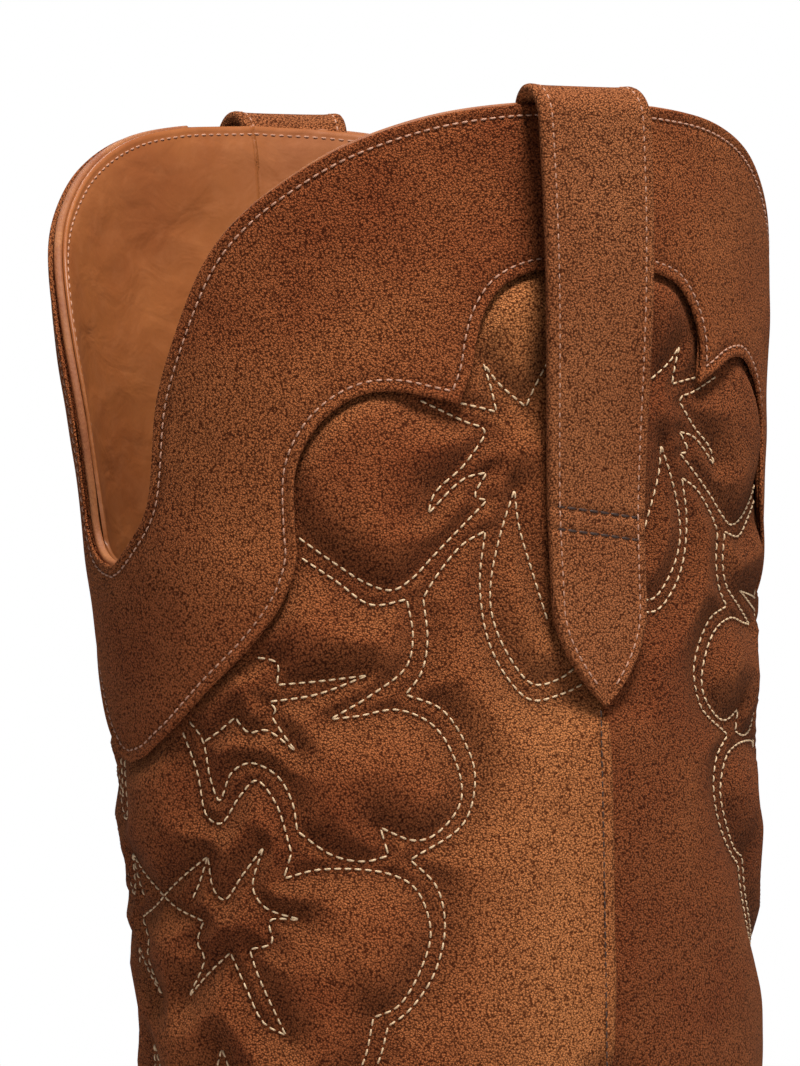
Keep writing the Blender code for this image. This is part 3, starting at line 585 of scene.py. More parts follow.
class Nodes:
    """A material's node tree, with short calls for the nodes that these materials use."""

    def __init__(self, name):
        self.material = bpy.data.materials.new(name)
        self.material.use_nodes = True
        self.tree = self.material.node_tree
        self.shader = self.tree.nodes["Principled BSDF"]
        self.place = self.add("TexCoord").outputs["Object"]

    def add(self, kind, inputs=(), **settings):
        """A new node, with its settings and with values or links for its inputs."""
        node = self.tree.nodes.new("ShaderNode" + kind)
        for name, value in settings.items():
            setattr(node, name, value)
        for name, value in dict(inputs).items():
            self.put(value, node.inputs[name])
        return node

    def put(self, value, socket):
        """Links an output to a socket, or gives the socket a plain value. A colour needs no alpha."""
        if hasattr(value, "is_linked"):
            self.tree.links.new(value, socket)
        elif socket.type == "RGBA" and len(value) == 3:
            socket.default_value = (*value, 1.0)
        else:
            socket.default_value = value

    def noise(self, size, detail=3.0, roughness=0.55, stretch=None, distortion=0.0):
        """Noise between 0 and 1 whose features are about the given size in millimetres."""
        shape = {"Scale": 1.0 / (size * MM), "Detail": detail, "Roughness": roughness}
        node = self.add("TexNoise", {**shape, "Distortion": distortion})
        place = self.place
        if stretch:
            place = self.add("Mapping", {"Scale": stretch, "Vector": place}).outputs["Vector"]
        self.put(place, node.inputs["Vector"])
        return node.outputs["Fac"]

    def cells(self, size, wander):
        """Small rounded grains of about the given size in millimetres: 1 inside each, and 0 in the gaps."""
        scale = 1.0 / (size * MM)
        offset = self.add("TexNoise", {"Scale": scale, "Vector": self.place}).outputs["Color"]
        reach = (wander * size * MM,) * 3
        push = self.add("VectorMath", {0: offset, 1: reach, 2: self.place}, operation="MULTIPLY_ADD")
        node = self.add("TexVoronoi", {"Scale": scale, "Vector": push.outputs["Vector"]})
        return self.span(node.outputs["Distance"], 0.2, 0.8, 1.0, 0.0)

    def attribute(self, name):
        return self.add("Attribute", attribute_name=name).outputs["Fac"]

    def span(self, value, low, high, to_low=0.0, to_high=1.0):
        ends = {"From Min": low, "From Max": high, "To Min": to_low, "To Max": to_high}
        return self.add("MapRange", {**ends, "Value": value}).outputs["Result"]

    def mix(self, factor, first, second, blend="MIX"):
        inputs = {0: factor, 6: first, 7: second}
        return self.add("Mix", inputs, data_type="RGBA", blend_type=blend).outputs[2]

    def grey(self, value):
        """A grey whose brightness is the value, which may be above 1."""
        return self.add("CombineColor", {k: value for k in range(3)}).outputs[0]

    def bump(self, height, distance, strength=1.0, under=None):
        inputs = {"Strength": strength, "Distance": distance * MM, "Height": height}
        if under is not None:
            inputs["Normal"] = under
        return self.add("Bump", inputs).outputs["Normal"]

    def finish(self, colour, roughness, normal=None, **constants):
        inputs = {"Base Color": colour, "Roughness": roughness}
        if normal is not None:
            inputs["Normal"] = normal
        inputs.update((name.replace("_", " "), value) for name, value in constants.items())
        for name, value in inputs.items():
            self.put(value, self.shader.inputs[name])
        return self.material


def suede(name, dark, light, gold_and_highlight, dusk):
    """Napped suede. Its nap lies light or dark in soft patches, and it is speckled all over by single fibres.

    The mesh's relief attribute paints shade into the stitched valleys and onto the puffs' lower sides. Its
    golden tint attribute moves the colour towards golden brown: the suede's own tone, and a painted highlight
    on the puffs' upper sides.
    """
    nodes = Nodes(name)
    patches = nodes.noise(24, 4, 0.6, distortion=0.4)
    brushed = nodes.noise(6, 3, 0.6)
    grain = nodes.cells(0.42, 0.9)
    tone = nodes.mix(nodes.span(patches, 0.36, 0.66), dark, light)
    # Golden tint from the mesh: the suede's own golden tone, and a painted highlight on the puffs' upper
    # sides and on the arch beside the seam
    tone = nodes.mix(nodes.span(nodes.attribute("gold_and_highlight"), 0.0, 1.0), tone, gold_and_highlight)
    tone = nodes.mix(nodes.span(brushed, 0.42, 0.72, 0.0, 0.3), tone, light)
    tone = nodes.mix(nodes.span(nodes.attribute("gold_and_highlight"), -1.0, 0.0, 0.55, 0.0), tone, dusk)
    # Painted shade: darker towards the dark tone in the stitched valleys and on the puffs' lower sides, where
    # the relief attribute is low
    valley_shade = nodes.span(nodes.attribute("relief"), 0.0, 0.85, 0.85, 0.0)
    tone = nodes.mix(valley_shade, tone, dusk)
    tone = nodes.mix(1.0, tone, nodes.mix(grain, (0.26, 0.2, 0.16), (1.9, 2.1, 2.2)), "MULTIPLY")
    normal = nodes.bump(grain, 0.3, 1.0)
    return nodes.finish(
        tone,
        0.95,
        normal,
        Sheen_Weight=0.06,
        Sheen_Roughness=0.4,
        Sheen_Tint=(0.95, 0.5, 0.25, 1.0),
        Specular_IOR_Level=0.08,
    )


def lining_leather():
    nodes = Nodes("lining_leather")
    cloud = nodes.noise(30, 4, 0.6)
    mottle = nodes.noise(5, 4, 0.6)
    tone = nodes.mix(nodes.span(cloud, 0.35, 0.7), (0.27, 0.078, 0.019), (0.34, 0.112, 0.029))
    tone = nodes.mix(nodes.span(mottle, 0.5, 0.8, 0.0, 0.4), tone, (0.39, 0.14, 0.047))
    # Painted shade: the lining darkens towards the bottom, deeper inside the shaft
    height = nodes.add("SeparateXYZ", {0: nodes.place}).outputs["Z"]
    inside_shade = nodes.span(height, 0.30, 0.36, 0.55, 1.0)
    tone = nodes.mix(1.0, tone, nodes.grey(inside_shade), "MULTIPLY")
    creases = nodes.noise(11, 3, 0.45, stretch=(1.0, 1.0, 1.6), distortion=0.5)
    pores = nodes.noise(0.7, 2, 0.5)
    normal = nodes.bump(creases, 1.6, 0.35)
    normal = nodes.bump(pores, 0.05, 0.35, normal)
    rough = nodes.span(mottle, 0.3, 0.7, 0.4, 0.52)
    return nodes.finish(tone, rough, normal, Specular_IOR_Level=0.4)


def raw_edge():
    nodes = Nodes("edge_leather")
    fibre = nodes.noise(0.6, 3, 0.6)
    patch = nodes.noise(9, 3, 0.6)
    tone = nodes.mix(nodes.span(patch, 0.35, 0.7), (0.24, 0.07, 0.02), (0.35, 0.13, 0.04))
    tone = nodes.mix(nodes.span(fibre, 0.4, 0.7, 0.0, 0.5), tone, (0.2, 0.055, 0.017))
    return nodes.finish(tone, 0.68, nodes.bump(fibre, 0.2, 0.7))


def thread(name, light, dark):
    nodes = Nodes(name)
    twist = nodes.noise(0.35, 2, 0.6)
    patch = nodes.noise(6, 2, 0.5)
    tone = nodes.mix(nodes.span(twist, 0.35, 0.65), dark, light)
    tone = nodes.mix(nodes.span(patch, 0.4, 0.75, 0.0, 0.35), tone, dark)
    return nodes.finish(tone, 0.6, nodes.bump(twist, 0.12, 0.8))


def sole_leather(name, first, second, rough):
    nodes = Nodes(name)
    cloud = nodes.noise(18, 4, 0.6)
    fibre = nodes.noise(0.8, 3, 0.6, stretch=(0.5, 0.5, 1.5))
    tone = nodes.mix(nodes.span(cloud, 0.35, 0.7), first, second)
    tone = nodes.mix(nodes.span(fibre, 0.45, 0.75, 0.0, 0.4), tone, tuple(c * 0.6 for c in first))
    return nodes.finish(tone, rough, nodes.bump(fibre, 0.14, 0.6), Coat_Weight=0.15, Coat_Roughness=0.3)


def stacked_leather():
    """The heel's lifts: thin layers of leather, each a little lighter or darker than the next."""
    nodes = Nodes("stacked_leather")
    layers = nodes.noise(1.6, 2, 0.5, stretch=(0.01, 0.01, 1.0))
    cloud = nodes.noise(12, 3, 0.6)
    fibre = nodes.noise(0.7, 3, 0.6, stretch=(0.3, 0.3, 1.6))
    tone = nodes.mix(nodes.span(layers, 0.3, 0.7), (0.085, 0.032, 0.013), (0.13, 0.052, 0.021))
    tone = nodes.mix(nodes.span(cloud, 0.4, 0.75, 0.0, 0.5), tone, (0.09, 0.034, 0.013))
    normal = nodes.bump(layers, 0.12, 0.6)
    normal = nodes.bump(fibre, 0.1, 0.6, normal)
    return nodes.finish(tone, 0.5, normal, Coat_Weight=0.1, Coat_Roughness=0.35)


def plain(name, first, second, size, rough, metallic=0.0, relief=0.1):
    nodes = Nodes(name)
    grain = nodes.noise(size, 4, 0.65)
    tone = nodes.mix(nodes.span(grain, 0.35, 0.68), first, second)
    return nodes.finish(tone, rough, nodes.bump(grain, relief, 0.7), Metallic=metallic)


# Golden brown: the suede's own golden tone, and also the colour of its painted highlights
GOLD_AND_HIGHLIGHT = (0.34, 0.115, 0.038)
SUEDE = suede("suede", (0.165, 0.038, 0.012), (0.225, 0.062, 0.02), GOLD_AND_HIGHLIGHT, (0.06, 0.016, 0.0055))
STRAP_SUEDE = suede("strap_suede", (0.18, 0.05, 0.018), (0.225, 0.07, 0.026), GOLD_AND_HIGHLIGHT, (0.06, 0.018, 0.006))
LINING = lining_leather()
EDGE = raw_edge()
CREAM = thread("cream_thread", (0.8, 0.6, 0.38), (0.5, 0.32, 0.18))
TONAL = thread("tonal_thread", (0.55, 0.3, 0.2), (0.34, 0.16, 0.1))
DARK_THREAD = thread("dark_thread", (0.05, 0.018, 0.009), (0.025, 0.009, 0.005))
SOLE = sole_leather("sole_leather", (0.42, 0.22, 0.1), (0.56, 0.33, 0.17), 0.5)
WELT_LEATHER = sole_leather("welt_leather", (0.3, 0.14, 0.06), (0.4, 0.2, 0.09), 0.45)
STACK = stacked_leather()
RUBBER = plain("rubber", (0.018, 0.015, 0.013), (0.035, 0.03, 0.026), 1.2, 0.72)
BOARD = plain("fibre_board", (0.36, 0.25, 0.14), (0.5, 0.38, 0.24), 0.8, 0.85)
CORK = plain("cork", (0.3, 0.18, 0.09), (0.55, 0.38, 0.22), 1.6, 0.9, relief=0.4)
STEEL = plain("steel", (0.5, 0.5, 0.51), (0.6, 0.6, 0.61), 0.6, 0.35, 1.0, 0.02)
BRASS = plain("brass", (0.6, 0.42, 0.16), (0.75, 0.55, 0.26), 0.6, 0.35, 1.0, 0.03)
PEG_WOOD = plain("peg_wood", (0.6, 0.44, 0.25), (0.78, 0.62, 0.4), 0.7, 0.7)


# ---------------------------------------------------------------- the shaft's panels

PUFF = 3.2  # how far the padded suede stands above its stitched valleys
PUFF_SPREAD = 6.0  # distance from a row over which it rises
LAP = 0.35  # half of the step where the front panel laps over the back one
TUCK_HEIGHT = 7.0  # how far the panels go on under the collar, upwards and sideways
TUCK_WIDTH = 4.0
PANEL_TOP_Z = 383.0


def puff(distance):
    return 1 - bell(distance, PUFF_SPREAD, 1.35)


def edge_puff(distance):
    """The steeper rise beside the collar and the foot's top edge."""
    return 1 - bell(distance, 2.8, 1.5)


def strap_press(distance, z):
    """How much the padding is pressed down under the sewn end of a strap."""
    across = fall(np.abs(from_front_line(distance) - SEAM), 13.0, 1.2)
    return 0.5 * across * fall(-z, -278.0, 1.5) * fall(z, 328.0, 5.0)


ROWS = {(back, side): quarter_rows(back, side) for back in (False, True) for side in (1, -1)}
PANEL_FOOT = (6.4, 9.4, 8.9)
BELOW_ANKLE = 14.0  # height that each tilted station stands for on the flat pattern
LEVELS = np.arange(ANKLE + 1, dtype=float)
LEVEL_HEIGHTS = bare_skin(LEVELS, 0 * LEVELS)[:, 2]
ANKLE_Z = LEVEL_HEIGHTS[-1]


def level_at(z):
    """The station at a height on the flat pattern, which goes on over the tilted stations below the ankle."""
    return np.where(z >= ANKLE_Z, station_at(z), ANKLE + (ANKLE_Z - z) / BELOW_ANKLE)


def collar_edge(back, side):
    """The collar's lower edge over one quarter, from the front or back line to the seam."""
    if not back:
        return front_collar_edge(side)
    away = np.interp(BACK_EDGE[:, 0], [SEAM, BACK_EDGE[0, 0]], [SEAM, HALF_GIRTH])
    return np.stack([away * side, BACK_EDGE[:, 1]], -1)


def gold_tint_and_arch_highlight(distance, z, back):
    """The front panel is a more golden brown low down beside the seam, and the back one is redder. The arch
    beside the seam under the collar gets a painted highlight.
    """
    if back:
        return np.full(distance.shape, -0.5)
    away = from_front_line(distance)
    side = bell(away - 92, 22.0)
    low = fall(z, 290, 12.0)
    # Painted highlight: the arch's padding is lightened as if it faced up into the light
    arch = bell(away - 86, 9.0) * bell(z - 352, 14.0)
    return 0.9 * side * low + 1.2 * arch


def make_panel(name, back):
    """One of the leg's two padded panels, raised between its stitched rows."""
    reach = HALF_GIRTH - SEAM - 0.3 if back else SEAM + 1.0
    around = (HALF_GIRTH if back else 0.0) + np.linspace(-reach, reach, int(2 * reach / FINE) | 1)
    low = smooth(np.array([0, SEAM, HALF_GIRTH]), np.array(PANEL_FOOT, float), from_front_line(around))
    foot_z = ANKLE_Z - (low - ANKLE) * BELOW_ANKLE
    share = np.linspace(0, 1, int(285 / FINE))[:, None]
    z = foot_z + (PANEL_TOP_Z - foot_z) * share
    distance = np.broadcast_to(around, z.shape)
    level = level_at(z)
    base = skin(level, angle_at(distance))
    motifs = [on_skin(row) for side in (1, -1) for row in ROWS[back, side]]
    relief = puff(distances_to(base, motifs))
    collar = [on_skin(collar_edge(back, side)) for side in (1, -1)]
    relief = relief * edge_puff(distances_to(base, collar) + 0.5)
    foot = foot_top(back)
    foot_distance = distances_to(base, [skin(foot[:, 1], foot[:, 0] * side) for side in (1, -1)])
    relief = relief * edge_puff(foot_distance) * (1 - strap_press(distance, z))
    angle = np.abs((angle_at(distance) + 180) % 360 - 180)
    order = np.argsort(foot[:, 0])
    under = level > np.interp(angle, foot[order, 0], foot[order, 1])
    relief = np.where((z > collar_height(distance)) | under, 0.0, relief)
    unevenness = 0.3 * waves(base, 34, 5) + 0.14 * waves(base, 11, 6)
    seam = np.abs(from_front_line(distance) - SEAM)
    lap = LAP * bell(seam, 5.0) * (-1.0 if back else 1.0)
    depth = PANEL_DEPTH - relief * (PUFF + unevenness + lap)
    points = skin(level, angle_at(distance), depth)
    collar_near = [collar_height(distance + shift) for shift in (-TUCK_WIDTH, TUCK_WIDTH)]
    inside = z < TUCK_HEIGHT + np.maximum(*collar_near)
    keep = inside[:-1, :-1] & inside[:-1, 1:] & inside[1:, :-1] & inside[1:, 1:]
    faces = grid_faces(*z.shape, keep=keep)
    used = np.unique(faces)
    renumber = np.zeros(z.size, int)
    renumber[used] = np.arange(len(used))
    obj = add_mesh(name, points.reshape(-1, 3)[used], renumber[faces], SUEDE)
    # Painted shade for the suede: low in the stitched valleys and on the puffs' lower sides, which face down
    # away from the light
    rise = PUFF * np.gradient(relief, axis=0) / np.maximum(np.gradient(z, axis=0), 0.1)
    shade = np.clip(0.45 + 0.55 * relief - 0.9 * np.clip(rise, 0, 1), 0, 1)
    add_values(obj, "relief", shade.ravel()[used])
    # Painted highlight: more golden on the puffs' upper sides, which face up into the light, added to the
    # panel's own golden tone
    gold_and_lit_tops = gold_tint_and_arch_highlight(distance, z, back) + 0.8 * np.clip(-rise, 0, 1)
    add_values(obj, "gold_and_highlight", gold_and_lit_tops.ravel()[used])
    return solidified(obj, PANEL_THICKNESS)


def make_panels():
    finished(make_panel("front_panel", False), "suede", "shaft_front")
    finished(make_panel("back_panel", True), "suede", "shaft_back")


def make_motif_stitching():
    """Cream thread in every row of the shaft's motifs, sunk in its valleys."""
    foot = foot_top(False)
    for back in (False, True):
        paths = []
        for side in (1, -1):
            for row in ROWS[back, side]:
                shown = row[:, 1] < collar_height(row[:, 0]) - 0.4
                if not back:
                    edge = np.interp(np.abs(angle_at(row[:, 0])), foot[:, 0], foot[:, 1])
                    shown &= level_at(row[:, 1]) < edge - 0.05
                if shown.sum() > 4:
                    paths.append(laid_path(row[shown], PANEL_DEPTH - 0.3))
        name = "back_motif_stitching" if back else "front_motif_stitching"
        finished(stitch_mesh(name, paths, CREAM), "suede")
    line = np.stack([np.full(240, SEAM - 1.6), np.linspace(130, 279, 240)], -1)
    paths = [laid_path(line * (side, 1), PANEL_DEPTH - PUFF - LAP - 0.05) for side in (1, -1)]
    finished(stitch_mesh("side_seam_stitching", paths, DARK_THREAD), "suede")


# ---------------------------------------------------------------- the collar

EDGE_LINES = np.array([0.0, 0.18, 0.45, 0.9, 1.6])  # rows of points near a cut edge, so that it is rounded
EDGE_ROUND = 0.5  # how far the surface drops at a cut edge
EDGE_REACH = 0.9  # and over what distance from it


def rounded(distance):
    """How far a surface drops near a cut edge, at a distance in from it."""
    inside = np.clip(1 - distance / EDGE_REACH, 0, 1)
    return EDGE_ROUND * (1 - np.sqrt(np.clip(1 - inside**2, 0, 1)))


def quarter_grid(back, side):
    """Rows of places from the collar's lower edge up to the rim, for one quarter."""
    low = collar_edge(back, side)
    high = rim_path(back, side)
    count = int(155 / FINE)
    low, high = picked(resample(low, 0.05), count), picked(resample(high, 0.05), count)
    span = np.linalg.norm(high - low, axis=1)
    even = np.linspace(0, 1, int(70 / FINE))[1:-1]
    near = EDGE_LINES[:, None] / span[None, :]
    middle = near[-1] + (1 - 2 * near[-1]) * even[:, None]
    share = np.concatenate([near, middle, 1 - near[::-1]])
    return low[None] + (high - low)[None] * share[..., None], share * span, (1 - share) * span


ROW_INSET = 2.2  # from a cut edge in to its stitch row


def inset_row(line, inset):
    """A row beside a cut edge, without the loops that would form inside its sharp corners."""
    row = offset_path(line, inset)
    tree = tree_of([(x, y, 0.0) for x, y in line])
    clear = [tree.find((x, y, 0.0))[2] > 0.97 * abs(inset) for x, y in row]
    return row[clear]


def collar_rows(back):
    """The collar's own stitch rows: one inside its lower edge, and one inside the rim."""
    return [inset_row(whole(back, collar_edge), ROW_INSET), inset_row(whole(back, rim_path), -ROW_INSET)]


def make_collar(name, back):
    """The smooth collar of the front or back, in a grid from its scalloped edge up to the rim."""
    grids = []
    for side in (-1, 1):
        grid, below, above = quarter_grid(back, side)
        if (side < 0) != back:
            grid, below, above = grid[:, ::-1], below[:, ::-1], above[:, ::-1]
        grids.append((grid, below, above))
    if back:
        grids = grids[::-1]
        grids[1] = (grids[1][0] + (2 * HALF_GIRTH, 0), grids[1][1], grids[1][2])
    place, below, above = [np.concatenate([first[:, :-1], second], 1) for first, second in zip(*grids)]
    base = on_skin(place.reshape(-1, 2)).reshape(place.shape[:2] + (3,))
    rows = [on_skin(row) for row in collar_rows(back)]
    dimple = 0.4 * bell(distances_to(base, rows), 1.0)
    swell = 0.35 * waves(base, 40, 8) + 0.12 * waves(base, 12, 9)
    free = np.clip(np.minimum(below, above) / 12.0, 0, 1)
    depth = rounded(below) + rounded(above) + dimple - swell * free
    depth -= 0.35 * bell(below - 1.2, 1.6)
    points = skin(station_at(place[..., 1]), angle_at(place[..., 0]), depth)
    obj = add_mesh(name, points.reshape(-1, 3), grid_faces(*place.shape[:2]), SUEDE)
    # Painted shade: the relief attribute darkens the suede along the stitch rows' dimples
    add_values(obj, "relief", np.clip(1.0 - dimple * 1.1, 0, 1))
    add_values(obj, "gold_and_highlight", 0.12 + 0.2 * waves(base, 60, 10))
    return solidified(obj, COLLAR_THICKNESS)


def make_collars():
    finished(make_collar("front_collar", False), "suede", "collar_front")
    finished(make_collar("back_collar", True), "suede", "collar_back")
    paths = [laid_path(row, 0.12) for back in (False, True) for row in collar_rows(back)]
    finished(stitch_mesh("collar_stitching", paths, TONAL), "suede")


# ---------------------------------------------------------------- binding and linings

STRAP_GAP = 14.5  # the binding stops this far from the side seam, under the strap


def rim_line(back, drop, count=260):
    """A line below the whole rim of the front or back, stopping short of the straps."""
    line = offset_path(whole(back, rim_path), -drop)
    away = from_front_line(line[:, 0])
    line = resample(line[np.abs(away - SEAM) > STRAP_GAP], 0.1)
    return picked(line, count)


def make_rim_binding(name, back):
    """The raw edge of the leather between the suede and the lining, which shows along the rim."""
    lines = [rim_line(back, drop) for drop in (-0.25, -0.05, 0.5, 1.6)]
    # Each of the section's corners, as a depth and one of the lines
    section = [(1.3, 3), (1.25, 2), (1.4, 1), (1.7, 0), (2.5, 0), (2.85, 1), (2.95, 2), (2.95, 3)]
    rows = [on_skin(lines[index], depth) for depth, index in section]
    return tube(name, np.array(rows).transpose(1, 0, 2), EDGE)


LINING_TUCK = 0.8  # the lining comes this much closer to the suede at the rim
LINING_ROW_INSET = 1.9  # from the rim down to the lining's row of stitches


def make_shaft_lining(name, back):
    reach = HALF_GIRTH - SEAM + 0.5 if back else SEAM + 0.5
    around = (HALF_GIRTH if back else 0.0) + np.linspace(-reach, reach, int(1.6 * reach / FINE) | 1)
    low = smooth(np.array([0, SEAM, HALF_GIRTH]), np.array([7.5, 8.35, 7.5]), from_front_line(around))
    foot_z = ANKLE_Z - (low - ANKLE) * BELOW_ANKLE
    rim = whole(back, rim_path)
    top = np.interp(around, rim[:, 0], rim[:, 1]) - 0.25
    share = np.linspace(0, 1, int(220 / FINE))[:, None] ** 0.8
    z = foot_z + (top - foot_z) * share
    distance = np.broadcast_to(around, z.shape)
    level = level_at(z)
    base = skin(level, angle_at(distance))
    below = distances_to(base, [on_skin(rim)])
    free = np.clip((below - 3.0) / 14.0, 0, 1)
    wrinkle = 0.45 * waves(base * (1, 1, 1.3), 42, 21) + 0.14 * waves(base * (1, 1, 2.0), 15, 22)
    row = 0.22 * bell(below - LINING_ROW_INSET, 0.8)
    tuck = LINING_TUCK * np.clip(1 - below / 9.0, 0, 1) ** 1.5
    depth = LINING_DEPTH + LINING_THICKNESS - tuck + free * wrinkle - row
    inner = skin(level, angle_at(distance), depth)
    obj = add_mesh(name, inner.reshape(-1, 3), grid_faces(*z.shape)[:, ::-1], LINING)
    return solidified(obj, LINING_THICKNESS)


def make_linings():
    finished(make_rim_binding("front_rim_binding", False), "edge_leather", "rim_binding_front")
    finished(make_rim_binding("back_rim_binding", True), "edge_leather", "rim_binding_back")
    finished(make_shaft_lining("front_shaft_lining", False), "lining_leather", "shaft_lining_front")
    finished(make_shaft_lining("back_shaft_lining", True), "lining_leather", "shaft_lining_back")
    paths = []
    depth = LINING_DEPTH + LINING_THICKNESS - LINING_TUCK * 0.7 - 0.1
    for back in (False, True):
        path, outward = laid_path(offset_path(whole(back, rim_path), -LINING_ROW_INSET), depth)
        paths.append((path, -outward))
    finished(stitch_mesh("lining_stitching", paths, TONAL), "lining_leather")


# ---------------------------------------------------------------- the pull straps

STRAP_WIDTH = 22.4
STRAP_THICKNESS = 2.0
STRAP_TIP_Z = 279.6
STRAP_SHOULDER_Z = 299.0
STRAP_TOP_Z = 400.0
STRAP_ROOT_Z = 384.0
STRAP_STAND_OFF = 6.0
LOOP_RISE = 5.2
STRAP_ROW_INSET = 2.1  # from the strap's sides to its rows of stitches
CROSS_ROW_INSET = 1.2


def strap_path():
    """A strap's middle from its lower tip over the rim to its inner end, as depths and heights."""
    half = STRAP_THICKNESS / 2
    tab = PANEL_DEPTH - PUFF * 0.5 - 0.3 - half
    proud = -(STRAP_STAND_OFF + half)
    tucked = (COLLAR_THICKNESS + LINING_DEPTH) / 2
    height = np.array([STRAP_TIP_Z, 299, 318, 331, 346, 360, 374, 385])
    lift = np.array([0, 0, 0.05, 0.25, 0.55, 0.8, 0.95, 1.0])
    leg = [(tab + (proud - tab) * share, z) for share, z in zip(lift, height)]
    spring_z = STRAP_TOP_Z - half - LOOP_RISE
    centre = (proud + tucked) / 2
    radius = (tucked - proud) / 2
    turn = np.linspace(0, math.pi, 15)
    loop = [(centre - radius * math.cos(a), spring_z + LOOP_RISE * math.sin(a)) for a in turn]
    return spline(leg + loop + [(tucked, STRAP_ROOT_Z)], 0.5 * FINE)


CROSS_ROWS = (317.4, 313.0)  # heights of the rows that hold a strap down
CROSS_TILT = -1.2


def strap_section():
    """Half of a strap's section with thicker folded edges, as shares across and heights either side."""
    across = np.array([0.0, 0.3, 0.55, 0.72, 0.8, 0.86, 0.92, 0.965, 0.99, 1.0])
    height = np.array([0.8, 0.8, 0.82, 0.86, 0.95, 1.08, 1.12, 0.98, 0.62, 0.0])
    return across, height


def strap_slant(lean, z):
    """How far the strap's middle has moved round the leg at a height."""
    return lean * (z - STRAP_TIP_Z) / 100.0


def strap_surface(side, lean):
    """The strap's middle path with its outward direction and half width, points round the section along
    it, and which of them lie outside the leg."""
    path = strap_path()
    out = square_to(path)
    share, height = strap_section()
    across = np.concatenate([-share[::-1], share[1:], share[-2::-1], -share[1:-1]])
    thick = np.concatenate([height[::-1], height[1:], -height[-2::-1], -height[1:-1]])
    first = np.arange(len(path)) < len(path) / 2
    t = np.clip((path[:, 1] - STRAP_TIP_Z) / (STRAP_SHOULDER_Z - STRAP_TIP_Z), 0, 1)
    taper = np.where(first, np.maximum(np.sin(t * math.pi / 2) ** 0.85, 0.05), 1.0)
    half = STRAP_WIDTH / 2 * taper
    tilt = CROSS_TILT * side * across
    for z in CROSS_ROWS:
        press = 0.4 * bell(path[:, 1:2] - z - tilt, 0.7) * first[:, None]
        thick = np.where(thick > 0, thick * (1 - press), thick)
    thick = thick * (STRAP_THICKNESS / 2)
    depth = path[:, 0:1] + out[:, 0:1] * thick * np.minimum(1, 0.5 + taper)[:, None]
    z = path[:, 1:2] + out[:, 1:2] * thick
    place = side * (SEAM + across * half[:, None] + strap_slant(lean, path[:, 1:2]))
    return path, out, half, skin(station_at(z), angle_at(place), depth), first


def strap_rows(side, lean, path, out, half):
    """Stitch rows in from each side of the strap's outer face."""
    sewn = path[:, 1] > STRAP_TIP_Z + 3.5
    path, out, half = path[sewn], out[sewn], half[sewn]
    depth, z = (path + out * 0.95).T
    rows = []
    for edge in (-1, 1):
        inset = edge * np.maximum(half - STRAP_ROW_INSET, 0.0)
        place = angle_at(side * (SEAM + inset + strap_slant(lean, path[:, 1])))
        low = skin(station_at(z), place, depth)
        rows.append((low, skin(station_at(z + out[:, 1]), place, depth + out[:, 0]) - low))
    return rows


def make_pull_strap(name, side, lean):
    path, out, half, points, first = strap_surface(side, lean)
    if side < 0:
        points = points[:, ::-1]
    obj = tube(name, points, STRAP_SUEDE, flip=True)
    add_values(obj, "relief", np.full(points.shape[:2], 0.9))
    add_values(obj, "gold_and_highlight", np.full(points.shape[:2], 0.2))
    finished(obj, "strap_suede", name)
    rows = strap_rows(side, lean, path, out, half)
    finished(stitch_mesh(f"{name}_stitching", rows, TONAL), "strap_suede")
    cross = []
    share = np.linspace(-1, 1, 40)
    for z in CROSS_ROWS:
        heights = z + CROSS_TILT * share * side
        depth = np.interp(heights, path[first][:, 1], path[first][:, 0])
        place = side * (SEAM + strap_slant(lean, heights) + share * (STRAP_WIDTH / 2 - CROSS_ROW_INSET))
        cross.append(with_outward(station_at(heights), angle_at(place), depth - 0.6))
    finished(stitch_mesh(f"{name}_cross_rows", cross, DARK_THREAD, 2.4, 2.1, 0.26), "strap_suede")


# ---------------------------------------------------------------- the foot's upper

SEAM_STATIONS = (8.6, 9.2, 10.0, 10.8, 11.6, 12.0, 12.4, 12.56)
SEAM_ANGLES = (90.0, 86.5, 84.3, 84.0, 91.0, 96.5, 121.0, 151.0)
SEAM_TOP = (SEAM_ANGLES[0], SEAM_STATIONS[0])
SEAM_FOOT = (SEAM_ANGLES[-1], SEAM_STATIONS[-1])
TOE_WRAP = [(0, 0, 23.99), (0.04, 60, 23.97), (0.08, 110, 23.93), (0.12, 140, 23.75), (0.17, 152, 23.1)]
VAMP_FOOT = TOE_WRAP + [(0.4, 151, 19.4), (0.7, 151, 16.2), (1, SEAM_FOOT[0], SEAM_FOOT[1] + 0.04)]
VAMP_TOP = [(0, 0, 5.35), (0.1, 9, 5.75), (0.22, 22, 6.55), (0.32, 33, 7.05), (0.44, 46, 7.3)]
VAMP_TOP += [(0.58, 60, 7.55), (0.72, 72, 8.15), (0.86, 83, 8.55), (1, SEAM_TOP[0] + 0.6, SEAM_TOP[1])]
HEEL_TOP = [(0, 180, 7.6), (0.2, 162, 8.05), (0.5, 136, 8.5), (0.8, 108, 8.62), (1, SEAM_TOP[0], SEAM_TOP[1])]
HEEL_FOOT = [(0, 180, 11.25), (0.3, 166, 11.35), (0.6, 156, 11.75), (0.85, 152, 12.3)]
HEEL_FOOT += [(1, SEAM_FOOT[0], SEAM_FOOT[1] - 0.05)]


def edge_curve(stops, u):
    """Angles and stations along an edge of the foot, from one side (-1) over the middle to the other (1)."""
    stops = np.array(stops, float)
    angle = smooth(stops[:, 0], stops[:, 1], np.abs(u))
    station = smooth(stops[:, 0], stops[:, 2], np.abs(u))
    return np.where(u < 0, -1.0, 1.0) * angle, station


def foot_top(back):
    """The top edge of the vamp or the heel cover on one side, as angles and stations."""
    angle, station = edge_curve(HEEL_TOP if back else VAMP_TOP, np.linspace(0, 1, 160))
    return np.stack([angle, station], -1)


